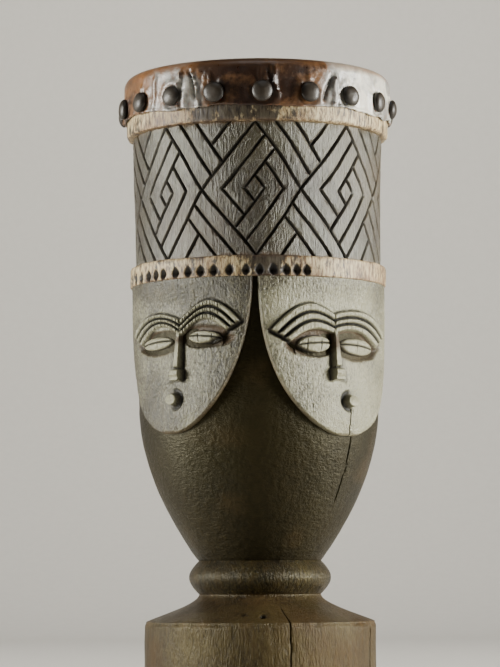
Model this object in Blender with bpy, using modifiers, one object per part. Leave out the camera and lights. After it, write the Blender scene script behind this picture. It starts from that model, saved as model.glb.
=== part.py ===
"""Single-headed pedestal drum: a carved wooden body, a rawhide head and the pegs that hold it.

The body is carved from one log: a foot, a waist with a ring, and a bowl that rises into a
straight wall. Four masks ring the bowl, a notched band crowns them, a knotted lattice is
scored into the wall above, and a thick collar carries the head. The drum is hollow all the
way through and open below. Metres, +Z up, origin at the middle of the foot's underside. The
front, where two masks meet, faces -Y. Azimuths are measured from there, positive towards +X.
"""

import math
from collections import namedtuple

import bmesh
import bpy
from mathutils import Matrix, Vector

MM = 0.001
DEG = math.pi / 180

# Facets round the drum
COLUMNS = 32

# Foot: the ring of wood that it stands on, the hollow inside it, and the shoulder's sweep
FOOT_R = 120.5 * MM
FOOT_H = 84.0 * MM
FOOT_RING_W = 36.5 * MM
FOOT_BORE_H = 38.0 * MM
FOOT_WALL = 20.0 * MM
FOOT_DOME = 0.8
FOOT_SWEEP_OUT = 1.7
FOOT_SWEEP_IN = 1.25

# Waist: a groove, a rounded ring and a second groove, with the bore running through
WAIST_R = 64.0 * MM
RING_PROUD = 10.5 * MM
RING_FULLNESS = 0.75
CONE_H = 29.0 * MM
RING_H = 35.0 * MM
NECK_WALL = 30.0 * MM
NECK_LIP = 4.0 * MM

# Bowl and the wall behind the masks
BOWL_H = 160.0 * MM
BOWL_R = 126.0 * MM
BOWL_FULLNESS = 0.9
MASK_ZONE_H = 126.0 * MM
BOWL_WALL = 17.0 * MM

# Notched band above the masks
BAND_PROUD = 8.8 * MM
BAND_H = 21.0 * MM
NOTCH_H = 13.0 * MM
NOTCH_MIDDLE = 5.6 * MM
NOTCH_FOOT = 0.9 * MM
NOTCH_PROUD = 0.5 * MM
NOTCH_HALF = 2.1 * DEG
NOTCH_DEPTH = 6.0 * MM

# The notches' azimuths in degrees, unevenly spaced by hand. Past the last they run on evenly.
NOTCHES = (
    21.3, 16.7, 12.0, 6.3, 0.5, -5.4, -12.5, -19.5, -25.7, -32.0, -38.8, -46.3, -51.4, -57.0, -64.1,
)
NOTCH_STEP = 7.0 * DEG
NOTCH_MORE_COUNT = 12

# Scored wall, proud of the wall below it and flaring a little
LATTICE_PROUD = 3.0 * MM
LATTICE_FLARE = 2.4 * MM
LATTICE_WALL = 16.0 * MM
LATTICE_H = 137.0 * MM
GROOVE_W = 3.2 * MM
GROOVE_DEPTH = 2.2 * MM

# Collar under the head
COLLAR_PROUD = 6.4 * MM
COLLAR_H = 61.5 * MM
RIM_ROUND = 8.0 * MM
RIM_LAND = 9.0 * MM

# Head: rawhide drawn over the rim and down the collar
HIDE_T = 2.6 * MM
HIDE_SKIRT = 47.5 * MM
HIDE_RIPPLE = 3.5 * MM
HIDE_LOWEST = 25.0 * DEG
CLEARANCE = 0.3 * MM

# Pegs
PEG_COUNT = 18
PEG_FIRST = 2.0 * DEG
PEG_DROP = 35.5 * MM
PEG_HEAD_R = 11.0 * MM
PEG_HEAD_H = 8.4 * MM
PEG_SHOULDER = 0.72
PEG_SHANK_R = 4.8 * MM
PEG_SHANK_L = 20.0 * MM
PEG_EASE = 0.4 * MM
PEG_SIDES = 8

# Masks: centre azimuth, side its nose leans from, half width at the top, brow ridges, and
# the segments of each brow, which also set how finely its blank is divided. The front right
# mask is the widest, and the back pair is plainer.
MASK_FIRST = 45 * DEG
MASK_PITCH = 90 * DEG
WIDE_MASK = 45.4 * DEG
MASK_HALF = 42.6 * DEG
FRONT_RIDGE_COUNT = 3
BACK_RIDGE_COUNT = 2
FRONT_SEGMENT_COUNT = 5
BACK_SEGMENT_COUNT = 3
# One side of a face, as azimuths from its nose line and depths below its top: the brow's tip,
# its rise over a straight line from the bridge and its skew, then the eyelid and the eye.
Side = namedtuple("Side", "brow_span brow_tip rise skew lid_span lid_tip lid_rise eye eye_drop")

# A face: its nose line's azimuth from the mask's middle, how far its outer side is drawn out,
# the depths of its brows' and its eyelids' bridge, its eyes' half height, its mouth, its sides.
Face = namedtuple("Face", "nose stretch bridge lid_bridge eye_half_h mouth mouth_drop inner outer")
RIGHT_FACE = Face(
    nose=-8.3 * DEG,
    stretch=1.45,
    bridge=37.0 * MM,
    lid_bridge=57.0 * MM,
    eye_half_h=9.0 * MM,
    mouth=5.9 * DEG,
    mouth_drop=125.0 * MM,
    inner=Side(
        brow_span=31.6 * DEG,
        brow_tip=55.5 * MM,
        rise=18.5 * MM,
        skew=1.05,
        lid_span=23.5 * DEG,
        lid_tip=68.0 * MM,
        lid_rise=9.0 * MM,
        eye=10.8 * DEG,
        eye_drop=68.5 * MM,
    ),
    outer=Side(
        brow_span=35.0 * DEG,
        brow_tip=55.5 * MM,
        rise=11.5 * MM,
        skew=0.85,
        lid_span=23.0 * DEG,
        lid_tip=68.0 * MM,
        lid_rise=8.7 * MM,
        eye=10.8 * DEG,
        eye_drop=69.0 * MM,
    ),
)
LEFT_FACE = Face(
    nose=-6.2 * DEG,
    stretch=1.36,
    bridge=41.5 * MM,
    lid_bridge=59.0 * MM,
    eye_half_h=7.0 * MM,
    mouth=1.9 * DEG,
    mouth_drop=122.6 * MM,
    inner=Side(
        brow_span=30.9 * DEG,
        brow_tip=45.9 * MM,
        rise=20.7 * MM,
        skew=1.15,
        lid_span=24.9 * DEG,
        lid_tip=56.0 * MM,
        lid_rise=14.9 * MM,
        eye=13.8 * DEG,
        eye_drop=60.9 * MM,
    ),
    outer=Side(
        brow_span=32.8 * DEG,
        brow_tip=54.0 * MM,
        rise=12.9 * MM,
        skew=0.85,
        lid_span=21.6 * DEG,
        lid_tip=66.0 * MM,
        lid_rise=14.5 * MM,
        eye=11.7 * DEG,
        eye_drop=64.1 * MM,
    ),
)
BACK_SIDE = Side(
    brow_span=32.8 * DEG,
    brow_tip=54.0 * MM,
    rise=17.0 * MM,
    skew=0.85,
    lid_span=21.6 * DEG,
    lid_tip=66.0 * MM,
    lid_rise=12.0 * MM,
    eye=11.5 * DEG,
    eye_drop=68.5 * MM,
)
BACK_FACE = Face(
    nose=-5.7 * DEG,
    stretch=1.36,
    bridge=38.0 * MM,
    lid_bridge=57.5 * MM,
    eye_half_h=8.0 * MM,
    mouth=4.0 * DEG,
    mouth_drop=124.0 * MM,
    inner=BACK_SIDE,
    outer=BACK_SIDE,
)
Mask = namedtuple("Mask", "centre lean half_width height taper ridges segments face")
MASKS = (
    Mask(
        centre=MASK_FIRST,
        lean=1,
        half_width=WIDE_MASK,
        height=161.0 * MM,
        taper=2.3,
        ridges=FRONT_RIDGE_COUNT,
        segments=FRONT_SEGMENT_COUNT,
        face=RIGHT_FACE,
    ),
    Mask(
        centre=MASK_FIRST - MASK_PITCH,
        lean=-1,
        half_width=MASK_HALF,
        height=157.5 * MM,
        taper=1.85,
        ridges=FRONT_RIDGE_COUNT,
        segments=FRONT_SEGMENT_COUNT,
        face=LEFT_FACE,
    ),
    Mask(
        centre=MASK_FIRST + MASK_PITCH,
        lean=-1,
        half_width=MASK_HALF,
        height=160.0 * MM,
        taper=2.2,
        ridges=BACK_RIDGE_COUNT,
        segments=BACK_SEGMENT_COUNT,
        face=BACK_FACE,
    ),
    Mask(
        centre=MASK_FIRST - 2 * MASK_PITCH,
        lean=1,
        half_width=MASK_HALF,
        height=160.0 * MM,
        taper=2.2,
        ridges=BACK_RIDGE_COUNT,
        segments=BACK_SEGMENT_COUNT,
        face=BACK_FACE,
    ),
)
MASK_RELIEF = 6.8 * MM
MASK_CHAMFER = 2.4 * MM
MASK_ROW_SWEEP = 0.47
MASK_EXTRA_COLUMNS = 3
MASK_EXTRA_ROWS = 2

# The hollow of a mask: its depth, the shares of the height where it is full and where it
# starts to fade, the share that it fades over, and how much of it the chin fills
MASK_HOLLOW = 5.4 * MM
HOLLOW_FULL = 0.2
HOLLOW_FADES = 0.55
HOLLOW_FADE = 0.35
CHIN_FILL = 0.8

# Features that all masks share
EASE_SPAN = 35.0 * DEG
OUTER_EASE = 0.26
BROW_RELIEF = 2.6 * MM
BROW_GROOVE_W = 0.14
BROW_EDGE_W = 0.04
EYE_HALF_W = 20.0 * MM
EYE_RELIEF = 3.2 * MM
NOSE_TOP_DROP = 54.0 * MM
NOSE_L = 50.0 * MM
NOSE_W = 5.5 * MM
NOSE_TIP_W = 10.5 * MM
NOSE_RELIEF = 3.5 * MM
NOSE_TIP_RELIEF = 9.0 * MM
MOUTH_R = 6.2 * MM
MOUTH_TAPER = 0.7
MOUTH_RELIEF = 6.5 * MM
ROOT_DEPTH = 4.0 * MM

# How far a cutter runs past the surface that it cuts, and how near two points are one
CUT_PAST = 2.0 * MM
MERGE = 0.02 * MM

# The motif of one repeat of the lattice. Across, 0 is a lozenge's middle and 1 the crossing
# to its right, and up, -1 and 1 are the wall's two edges.
LATTICE_REPEATS = 8
LATTICE_FIRST = -23.5 * DEG
MOTIF = (
    ((0.0, 1.0), (2.0, -1.0)),
    ((0.0, -1.0), (2.0, 1.0)),
    ((0.2, 0.8), (-0.6, 0.0)),
    ((-0.6, 0.0), (-0.2, -0.4)),
    ((0.4, 0.6), (-0.2, 0.0)),
    ((-0.2, 0.0), (0.0, -0.2)),
    ((0.2, 0.4), (0.6, 0.0)),
    ((0.6, 0.0), (-0.2, -0.8)),
    ((0.0, 0.2), (0.2, 0.0)),
    ((0.2, 0.0), (-0.4, -0.6)),
    ((0.4, 1.0), (1.2, 0.2)),
    ((0.8, 1.0), (1.4, 0.4)),
    ((1.5, 1.0), (1.15, 0.65)),
    ((0.8, -0.2), (1.6, -1.0)),
    ((0.6, -0.4), (1.2, -1.0)),
    ((0.85, -0.65), (0.5, -1.0)),
)

# Radii, each from the part of the drum that it follows
FOOT_BORE_R = FOOT_R - FOOT_RING_W
RING_R = WAIST_R + RING_PROUD
NECK_BORE_R = WAIST_R - NECK_WALL
BAND_R = BOWL_R + BAND_PROUD
LATTICE_LOW_R = BOWL_R + LATTICE_PROUD
LATTICE_TOP_R = LATTICE_LOW_R + LATTICE_FLARE
COLLAR_R = LATTICE_TOP_R + COLLAR_PROUD
BORE_R = LATTICE_LOW_R - LATTICE_WALL
HIDE_R = COLLAR_R + CLEARANCE + HIDE_T

# Heights up the drum
WAIST_Z = FOOT_H + CONE_H
NECK_Z = WAIST_Z + RING_H
BOWL_Z = NECK_Z + BOWL_H
BAND_Z = BOWL_Z + MASK_ZONE_H
LATTICE_Z = BAND_Z + BAND_H
COLLAR_Z = LATTICE_Z + LATTICE_H
RIM_Z = COLLAR_Z + COLLAR_H
HIDE_TOP_Z = RIM_Z + CLEARANCE + HIDE_T
PEG_Z = HIDE_TOP_Z - PEG_DROP

# The wall is scored unrolled, at the radius where it keeps its true scale. The unrolled drum
# starts on a crossing of the lattice.
UNROLL_R = (LATTICE_LOW_R + LATTICE_TOP_R) / 2
TURN = 2 * math.pi * UNROLL_R
SEAM = LATTICE_FIRST * UNROLL_R - TURN / 2


def clear_scene():
    for obj in list(bpy.data.objects):
        bpy.data.objects.remove(obj)


def smoothstep(t):
    t = min(1.0, max(0.0, t))
    return t * t * (3 - 2 * t)


def polar(radius, azimuth, height):
    """A point of the drum from its radius, azimuth and height."""
    return Vector((radius * math.sin(azimuth), -radius * math.cos(azimuth), height))


def collection(name, hidden=False):
    made = bpy.data.collections.new(name)
    bpy.context.scene.collection.children.link(made)
    made.hide_render = hidden
    return made


def material(name, colour, roughness):
    made = bpy.data.materials.new(name)
    made.use_nodes = True
    made.diffuse_color = (*colour, 1.0)
    shader = made.node_tree.nodes["Principled BSDF"]
    shader.inputs["Base Color"].default_value = (*colour, 1.0)
    shader.inputs["Roughness"].default_value = roughness
    shader.inputs["Metallic"].default_value = 0.0
    return made


def add_object(name, bm, group, finish=None):
    mesh = bpy.data.meshes.new(name)
    bmesh.ops.recalc_face_normals(bm, faces=bm.faces[:])
    bm.to_mesh(mesh)
    bm.free()
    mesh.shade_smooth()
    mesh.set_sharp_from_angle(angle=30 * DEG)
    obj = bpy.data.objects.new(name, mesh)
    if finish:
        mesh.materials.append(finish)
    group.objects.link(obj)
    return obj


def merge_in(target, source):
    """Adds one bmesh to another, faces outwards, and frees it."""
    mesh = bpy.data.meshes.new("scratch")
    bmesh.ops.recalc_face_normals(source, faces=source.faces[:])
    source.to_mesh(mesh)
    source.free()
    target.from_mesh(mesh)
    bpy.data.meshes.remove(mesh)


def cut_or_join(obj, other, operation):
    """An exact Boolean with another shape, which is a hidden helper."""
    modifier = obj.modifiers.new(other.name, "BOOLEAN")
    modifier.solver = "EXACT"
    modifier.operation = operation
    modifier.object = other
    other.hide_render = True
    other.display_type = "WIRE"


def bowl_radius(z):
    """Outer radius from the neck up to the band: a bowl that closes in as an ellipse does."""
    t = min(1.0, max(0.0, (z - NECK_Z) / BOWL_H))
    swell = math.sin(t * math.pi / 2) ** BOWL_FULLNESS
    return WAIST_R + (BOWL_R - WAIST_R) * swell


def ring_radius(t):
    """Radius across the waist ring, t running from its lower groove to its upper one."""
    return WAIST_R + (RING_R - WAIST_R) * math.sin(math.pi * t) ** RING_FULLNESS


def foot_radius(t):
    """The sloping top of the foot, a hollow curve from its edge in to the waist."""
    return FOOT_R + (WAIST_R - FOOT_R) * (1 - (1 - t) ** FOOT_SWEEP_OUT) ** FOOT_SWEEP_IN


def body_profile():
    """The body's closed outline as (radius, height), up the outside and down the bore."""
    outside = [(FOOT_R, 0.0), (FOOT_R, FOOT_H)]
    outside += [(foot_radius(t), FOOT_H + CONE_H * t) for t in (0.4, 1.0)]
    outside += [(ring_radius(t), WAIST_Z + RING_H * t) for t in (0.25, 0.5, 0.75, 1.0)]
    levels = [NECK_Z + BOWL_H * t for t in (0.12, 0.3, 0.5, 0.72, 1.0)]
    outside += [(bowl_radius(z), z) for z in levels]
    outside += [(BOWL_R, BAND_Z), (BAND_R, BAND_Z), (BAND_R, LATTICE_Z), (LATTICE_LOW_R, LATTICE_Z)]
    outside += [(LATTICE_TOP_R, COLLAR_Z), (COLLAR_R, COLLAR_Z), (COLLAR_R, RIM_Z - RIM_ROUND)]
    outside += [(COLLAR_R - RIM_ROUND, RIM_Z), (BORE_R + RIM_LAND, RIM_Z)]
    half_z = (NECK_Z + BOWL_Z) / 2
    inside = [(BORE_R, RIM_Z - RIM_LAND), (BOWL_R - BOWL_WALL, BOWL_Z)]
    inside += [(bowl_radius(half_z) - BOWL_WALL, half_z)]
    inside += [(NECK_BORE_R, NECK_Z), (NECK_BORE_R, WAIST_Z - NECK_LIP)]
    inside += [(FOOT_BORE_R * FOOT_DOME, FOOT_BORE_H + FOOT_WALL)]
    inside += [(FOOT_BORE_R, FOOT_BORE_H), (FOOT_BORE_R, 0.0)]
    return outside + inside


def unrolled_body():
    """The profile drawn out straight, a column for each facet and a spare one at each end."""
    bm = bmesh.new()
    width = TURN / COLUMNS
    start = SEAM - width
    ring = [bm.verts.new((start, radius, height)) for radius, height in body_profile()]
    edges = [bm.edges.new((a, b)) for a, b in zip(ring, ring[1:] + ring[:1])]
    for _ in range(COLUMNS + 2):
        made = bmesh.ops.extrude_edge_only(bm, edges=edges)["geom"]
        verts = {g for g in made if isinstance(g, bmesh.types.BMVert)}
        edges = [g for g in made if isinstance(g, bmesh.types.BMEdge) and verts.issuperset(g.verts)]
        bmesh.ops.translate(bm, verts=list(verts), vec=(width, 0, 0))
    return bm


def wrap(bm):
    """Rolls an unrolled mesh round the drum: X is arc length, Y radius and Z height."""
    for vert in bm.verts:
        vert.co = polar(vert.co.y, vert.co.x / UNROLL_R, vert.co.z)


def lattice_lines():
    """Every groove as two points (arc length, height), with those over the seam at both ends."""
    half_pitch = TURN / LATTICE_REPEATS / 2
    middle_z = LATTICE_Z + LATTICE_H / 2
    reach = 3 * TURN / COLUMNS
    lines = []
    for repeat in range(-2, LATTICE_REPEATS + 3):
        middle = SEAM + (2 * repeat - 1) * half_pitch
        for ends in MOTIF:
            line = [(middle + a * half_pitch, middle_z + b * LATTICE_H / 2) for a, b in ends]
            if min(line)[0] < SEAM + TURN + reach and max(line)[0] > SEAM - reach:
                lines.append(line)
    return lines


def in_scored_wall(vert):
    level = LATTICE_Z - MM < vert.co.z < COLLAR_Z + MM
    return level and BORE_R + 2 * MM < vert.co.y < LATTICE_TOP_R + MM


def crossed_faces(bm, start, along, length):
    """The scored wall's faces that a line crosses within its own length."""
    across = Vector((along.y, -along.x))
    reach = abs(along.x) * length + GROOVE_W + TURN / COLUMNS
    found = []
    for face in bm.faces:
        if abs(face.verts[0].co.x - start.x) > reach or not all(in_scored_wall(v) for v in face.verts):
            continue
        points = [Vector((v.co.x, v.co.z)) - start for v in face.verts]
        sides = [p.dot(across) for p in points]
        runs = [p.dot(along) for p in points]
        if min(sides) < -1e-6 and max(sides) > 1e-6 and min(runs) < length and max(runs) > 0:
            found.append(face)
    return found


def score_lattice(bm):
    """Cuts the wall along each groove's two edges and its bottom, then sinks the bottom."""
    lines = lattice_lines()
    for (ax, az), (bx, bz) in lines:
        along = Vector((bx - ax, bz - az))
        length = along.length
        along.normalize()
        across = Vector((along.y, -along.x))
        for side in (-0.5, 0.0, 0.5):
            start = Vector((ax, az)) + across * GROOVE_W * side
            faces = crossed_faces(bm, start, along, length)
            edges = {e for f in faces for e in f.edges}
            verts = {v for f in faces for v in f.verts}
            bmesh.ops.bisect_plane(
                bm,
                geom=list(faces) + list(edges) + list(verts),
                dist=MERGE,
                plane_co=(start.x, 0, start.y),
                plane_no=(across.x, 0, across.y),
            )
    for vert in bm.verts:
        if in_scored_wall(vert):
            vert.co.y -= groove_depth(vert.co.x, vert.co.z, lines)


def groove_depth(x, z, lines):
    depth = 0.0
    for (ax, az), (bx, bz) in lines:
        if not min(ax, bx) - GROOVE_W < x < max(ax, bx) + GROOVE_W:
            continue
        along = Vector((bx - ax, bz - az))
        t = ((x - ax) * along.x + (z - az) * along.y) / along.length_squared
        t = min(1.0, max(0.0, t))
        distance = math.hypot(x - ax - along.x * t, z - az - along.y * t)
        depth = max(depth, GROOVE_DEPTH * (1 - distance / (GROOVE_W / 2)))
    return depth


def trim_spare_columns(bm):
    """Removes the two spare columns and the cuts across flat wall that no groove needs."""
    outside = [f for f in bm.faces if not SEAM < f.calc_center_median().x < SEAM + TURN]
    bmesh.ops.delete(bm, geom=outside, context="FACES")
    width = TURN / COLUMNS
    verts = [v for v in bm.verts if in_scored_wall(v)]
    edges = []
    for edge in bm.edges:
        a, b = (v.co for v in edge.verts)
        on_column = abs(a.x - b.x) < MERGE / 2 and abs(math.remainder(a.x - SEAM, width)) < MERGE / 2
        if not on_column and all(in_scored_wall(v) for v in edge.verts):
            edges.append(edge)
    bmesh.ops.dissolve_limit(bm, angle_limit=0.5 * DEG, verts=verts, edges=edges)


def mask_half_width(mask, z):
    share = min(1.0, max(0.0, (BAND_Z - z) / mask.height))
    return mask.half_width * math.sqrt(1 - share**mask.taper)


def mask_radius(mask, z, offset):
    """A mask's surface: it follows the wall's swell, proud of it, and is hollowed in the middle."""
    share = (BAND_Z - z) / mask.height
    chin = CHIN_FILL * smoothstep((share - HOLLOW_FADES) / HOLLOW_FADE)
    hollow = MASK_HOLLOW * smoothstep(share / HOLLOW_FULL) * (1 - chin)
    from_middle = min(1.0, abs(offset) / mask.half_width)
    return bowl_radius(z) + MASK_RELIEF - hollow * (1 - from_middle**2) ** 2


def mask_blanks():
    """Each mask's blank: a grid bent to its outline and given depth into the wall."""
    bm = bmesh.new()
    for mask in MASKS:
        blank = bmesh.new()
        columns = mask.segments + MASK_EXTRA_COLUMNS
        rows = mask.segments + MASK_EXTRA_ROWS
        bmesh.ops.create_grid(blank, x_segments=columns, y_segments=rows, size=1.0)
        for vert in blank.verts:
            across, share = vert.co.x, (1 - vert.co.y) / 2
            z = BAND_Z - mask.height * math.sin(share * MASK_ROW_SWEEP * math.pi)
            edge = abs(across) > 0.99 or share > 0.99
            offset = across * mask_half_width(mask, z)
            radius = mask_radius(mask, z, offset) - (MASK_CHAMFER if edge else 0)
            vert.co = Vector((mask.centre + offset, radius, z if share > 0.01 else BAND_Z + MM))
        made = bmesh.ops.extrude_face_region(blank, geom=blank.faces[:])["geom"]
        for vert in (g for g in made if isinstance(g, bmesh.types.BMVert)):
            vert.co.y = bowl_radius(vert.co.z) - ROOT_DEPTH
        for vert in blank.verts:
            vert.co = polar(vert.co.y, vert.co.x, vert.co.z)
        merge_in(bm, blank)
    bmesh.ops.triangulate(bm, faces=bm.faces[:])
    return bm


def on_mask(mask, across, drop, relief):
    """A point over a mask: an azimuth from its nose line, a depth below its top, and a relief."""
    face = mask.face
    stretch = face.stretch - OUTER_EASE * (across / EASE_SPAN) ** 2 if across > 0 else 1.0
    offset = face.nose + across * stretch
    z = BAND_Z - drop
    return polar(mask_radius(mask, z, offset) + relief, mask.centre + mask.lean * offset, z)


def brow_point(face, t, share):
    """A point of a pair of brows: t runs from tip to tip, and share from brow (0) to eyelid (1)."""
    side = face.inner if t < 0 else face.outer
    away = abs(t)
    arch = math.sin(math.pi * away**side.skew)
    brow = face.bridge + (side.brow_tip - face.bridge) * away - side.rise * arch
    lid = face.lid_bridge + (side.lid_tip - face.lid_bridge) * away - side.lid_rise * arch
    span = side.brow_span + (side.lid_span - side.brow_span) * share
    return span * t, brow + (lid - brow) * share


def brow_section(ridges):
    """Across a brow, as (share, relief): flat ridges with V grooves between, on a buried base."""
    section = [(0.0, -ROOT_DEPTH), (BROW_EDGE_W, BROW_RELIEF)]
    for ridge in range(1, ridges):
        middle = ridge / ridges
        section += [(middle - BROW_GROOVE_W / 2, BROW_RELIEF), (middle, 0.0)]
        section += [(middle + BROW_GROOVE_W / 2, BROW_RELIEF)]
    return section + [(1 - BROW_EDGE_W, BROW_RELIEF), (1.0, -ROOT_DEPTH)]


def brows(mask):
    """The brows over both eyes as one loft from tip to tip."""
    bm = bmesh.new()
    section = brow_section(mask.ridges)
    rings = []
    for i in range(-mask.segments, mask.segments + 1):
        ring = []
        for share, relief in section:
            across, drop = brow_point(mask.face, i / mask.segments, share)
            ring.append(bm.verts.new(on_mask(mask, across, drop, relief)))
        rings.append(ring)
    for near, far in zip(rings, rings[1:]):
        for i in range(len(section)):
            j = (i + 1) % len(section)
            bm.faces.new((near[i], near[j], far[j], far[i]))
    bm.faces.new(rings[0][::-1])
    bm.faces.new(rings[-1])
    return bm


def eye(mask, sign):
    """A bean-shaped eye: a flattened ball half sunk in the mask."""
    bm = bmesh.new()
    side = mask.face.inner if sign < 0 else mask.face.outer
    bmesh.ops.create_uvsphere(bm, u_segments=8, v_segments=3, radius=1.0)
    for vert in bm.verts:
        across, up, out = vert.co
        offset = sign * side.eye + across * EYE_HALF_W / BOWL_R
        drop = side.eye_drop - up * mask.face.eye_half_h
        vert.co = on_mask(mask, offset, drop, out * EYE_RELIEF)
    return bm


def nose(mask):
    """A long straight nose that widens and stands out towards its tip."""
    bm = bmesh.new()
    bmesh.ops.create_cube(bm, size=2.0)
    for vert in bm.verts:
        across, up, out = vert.co
        down = (1 - up) / 2
        width = (NOSE_W + (NOSE_TIP_W - NOSE_W) * down) * (0.5 if out > 0 else 1.0)
        relief = NOSE_RELIEF + (NOSE_TIP_RELIEF - NOSE_RELIEF) * down
        drop = NOSE_TOP_DROP + NOSE_L * down
        vert.co = on_mask(mask, across * width / 2 / BOWL_R, drop, relief if out > 0 else -ROOT_DEPTH)
    return bm


def mouth(mask):
    """A small round mouth that stands out as a knob."""
    bm = bmesh.new()
    bmesh.ops.create_cone(bm, cap_ends=True, segments=7, radius1=1.0, radius2=MOUTH_TAPER, depth=2.0)
    for vert in bm.verts:
        across, up, out = vert.co
        offset = mask.face.mouth + across * MOUTH_R / BOWL_R
        relief = MOUTH_RELIEF if out > 0 else -ROOT_DEPTH
        vert.co = on_mask(mask, offset, mask.face.mouth_drop - up * MOUTH_R, relief)
    return bm


def mask_features():
    """Brows, mouths and eyes, as separate pieces that each reach into their mask."""
    bm = bmesh.new()
    for mask in MASKS:
        merge_in(bm, brows(mask))
        merge_in(bm, mouth(mask))
        merge_in(bm, eye(mask, -1))
        merge_in(bm, eye(mask, 1))
    return bm


def noses():
    bm = bmesh.new()
    for mask in MASKS:
        merge_in(bm, nose(mask))
    return bm


def band_notches():
    """Cutters for the band's notches: lozenge chips with their foot at the band's lower edge."""
    bm = bmesh.new()
    bottom = BAND_R - NOTCH_DEPTH
    proud = BAND_R + NOTCH_PROUD
    grow = (proud - bottom) / NOTCH_DEPTH
    half = NOTCH_HALF * grow
    top = BAND_Z + NOTCH_MIDDLE + (NOTCH_H - NOTCH_MIDDLE) * grow
    foot = BAND_Z + NOTCH_MIDDLE - (NOTCH_FOOT + NOTCH_MIDDLE) * grow
    widest = BAND_Z + NOTCH_MIDDLE
    middles = [azimuth * DEG for azimuth in NOTCHES]
    middles += [middles[-1] - (i + 1) * NOTCH_STEP for i in range(NOTCH_MORE_COUNT)]
    for middle in middles:
        chip = bmesh.new()
        bmesh.ops.create_cone(chip, cap_ends=True, segments=4, radius1=1.0, radius2=0.0, depth=1.0)
        bmesh.ops.remove_doubles(chip, verts=chip.verts[:], dist=0.01)
        for vert in chip.verts:
            if vert.co.z > 0:
                vert.co = polar(bottom, middle, widest)
            elif abs(vert.co.x) > abs(vert.co.y):
                vert.co = polar(proud, middle + math.copysign(half, vert.co.x), widest)
            else:
                vert.co = polar(proud, middle, top if vert.co.y > 0 else foot)
        merge_in(bm, chip)
    return bm


def drum_body(parts, cutters, finish):
    bm = unrolled_body()
    score_lattice(bm)
    trim_spare_columns(bm)
    wrap(bm)
    bmesh.ops.remove_doubles(bm, verts=bm.verts[:], dist=MERGE)
    body = add_object("drum_body", bm, parts, finish)
    cut_or_join(body, add_object("band_notches", band_notches(), cutters), "DIFFERENCE")
    cut_or_join(body, add_object("mask_blanks", mask_blanks(), cutters), "UNION")
    cut_or_join(body, add_object("mask_features", mask_features(), cutters), "UNION")
    cut_or_join(body, add_object("noses", noses(), cutters), "UNION")
    return body


def turned(profile, sides):
    """A closed shape spun about Z from (radius, height) points that start and end on the axis."""
    bm = bmesh.new()
    verts = [bm.verts.new((radius, 0, height)) for radius, height in profile]
    edges = [bm.edges.new(pair) for pair in zip(verts, verts[1:])]
    bmesh.ops.spin(
        bm,
        geom=verts + edges,
        cent=(0, 0, 0),
        axis=(0, 0, 1),
        angle=2 * math.pi,
        steps=sides,
        use_merge=True,
    )
    bmesh.ops.remove_doubles(bm, verts=bm.verts[:], dist=MERGE)
    return bm


def drum_head(parts, finish):
    """A flat skin rounded over the rim, with a skirt whose edge rises and falls a little."""
    edge_z = HIDE_TOP_Z - HIDE_SKIRT
    round_r = RIM_ROUND + HIDE_T
    inner_r = COLLAR_R + CLEARANCE
    under_z = RIM_Z + CLEARANCE
    profile = (
        (0.0, HIDE_TOP_Z),
        (HIDE_R - round_r, HIDE_TOP_Z),
        (HIDE_R - round_r * 0.3, HIDE_TOP_Z - round_r * 0.3),
        (HIDE_R, HIDE_TOP_Z - round_r),
        (HIDE_R, edge_z),
        (inner_r, edge_z),
        (inner_r, under_z - RIM_ROUND),
        (inner_r - RIM_ROUND, under_z),
        (0.0, under_z),
    )
    bm = turned(profile, COLUMNS)
    start = Matrix.Rotation(SEAM / UNROLL_R - math.pi / 2, 3, "Z")
    bmesh.ops.rotate(bm, verts=bm.verts[:], matrix=start)
    for vert in bm.verts:
        if vert.co.z < edge_z + MM:
            azimuth = math.atan2(vert.co.x, -vert.co.y)
            wave = 0.75 * math.cos(azimuth - HIDE_LOWEST) + 0.25 * math.sin(7 * azimuth)
            vert.co.z -= HIDE_RIPPLE * wave
    return add_object("drum_head", bm, parts, finish)


def peg_place(index):
    """Where a peg's head meets the hide, turned so that its own +Z points outwards."""
    azimuth = PEG_FIRST + index * 2 * math.pi / PEG_COUNT
    turn = polar(1.0, azimuth, 0.0).to_track_quat("Z", "Y").to_matrix().to_4x4()
    return Matrix.Translation(polar(HIDE_R + CLEARANCE, azimuth, PEG_Z)) @ turn


def pegs(parts, finish):
    """Tapered shanks under domed heads that lie against the hide, each its own object."""
    profile = (
        (0.0, PEG_HEAD_H),
        (PEG_HEAD_R * PEG_SHOULDER, PEG_HEAD_H * PEG_SHOULDER),
        (PEG_HEAD_R, 0.0),
        (PEG_SHANK_R, 0.0),
        (0.0, -PEG_SHANK_L),
    )
    mesh = bpy.data.meshes.new("peg_profile")
    points = [(radius, 0.0, height) for radius, height in profile]
    mesh.from_pydata(points, [(i, i + 1) for i in range(len(points) - 1)], [])
    mesh.materials.append(finish)
    for index in range(PEG_COUNT):
        peg = bpy.data.objects.new(f"peg_{index + 1:02d}", mesh)
        peg.matrix_world = peg_place(index)
        parts.objects.link(peg)
        turn = peg.modifiers.new("turned", "SCREW")
        turn.steps = PEG_SIDES
        turn.render_steps = PEG_SIDES
        turn.use_merge_vertices = True
        turn.merge_threshold = MERGE


def peg_holes():
    """The shanks' shape with clearance all round, running out past the hide."""
    grow = (PEG_SHANK_R + PEG_EASE) / PEG_SHANK_R
    out = 2 * CUT_PAST
    profile = (
        (0.0, -PEG_SHANK_L * grow),
        (PEG_SHANK_R * grow, 0.0),
        (PEG_SHANK_R * grow, out),
        (0.0, out),
    )
    bm = bmesh.new()
    for index in range(PEG_COUNT):
        hole = turned(profile, PEG_SIDES)
        hole.transform(peg_place(index))
        merge_in(bm, hole)
    return bm


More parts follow.
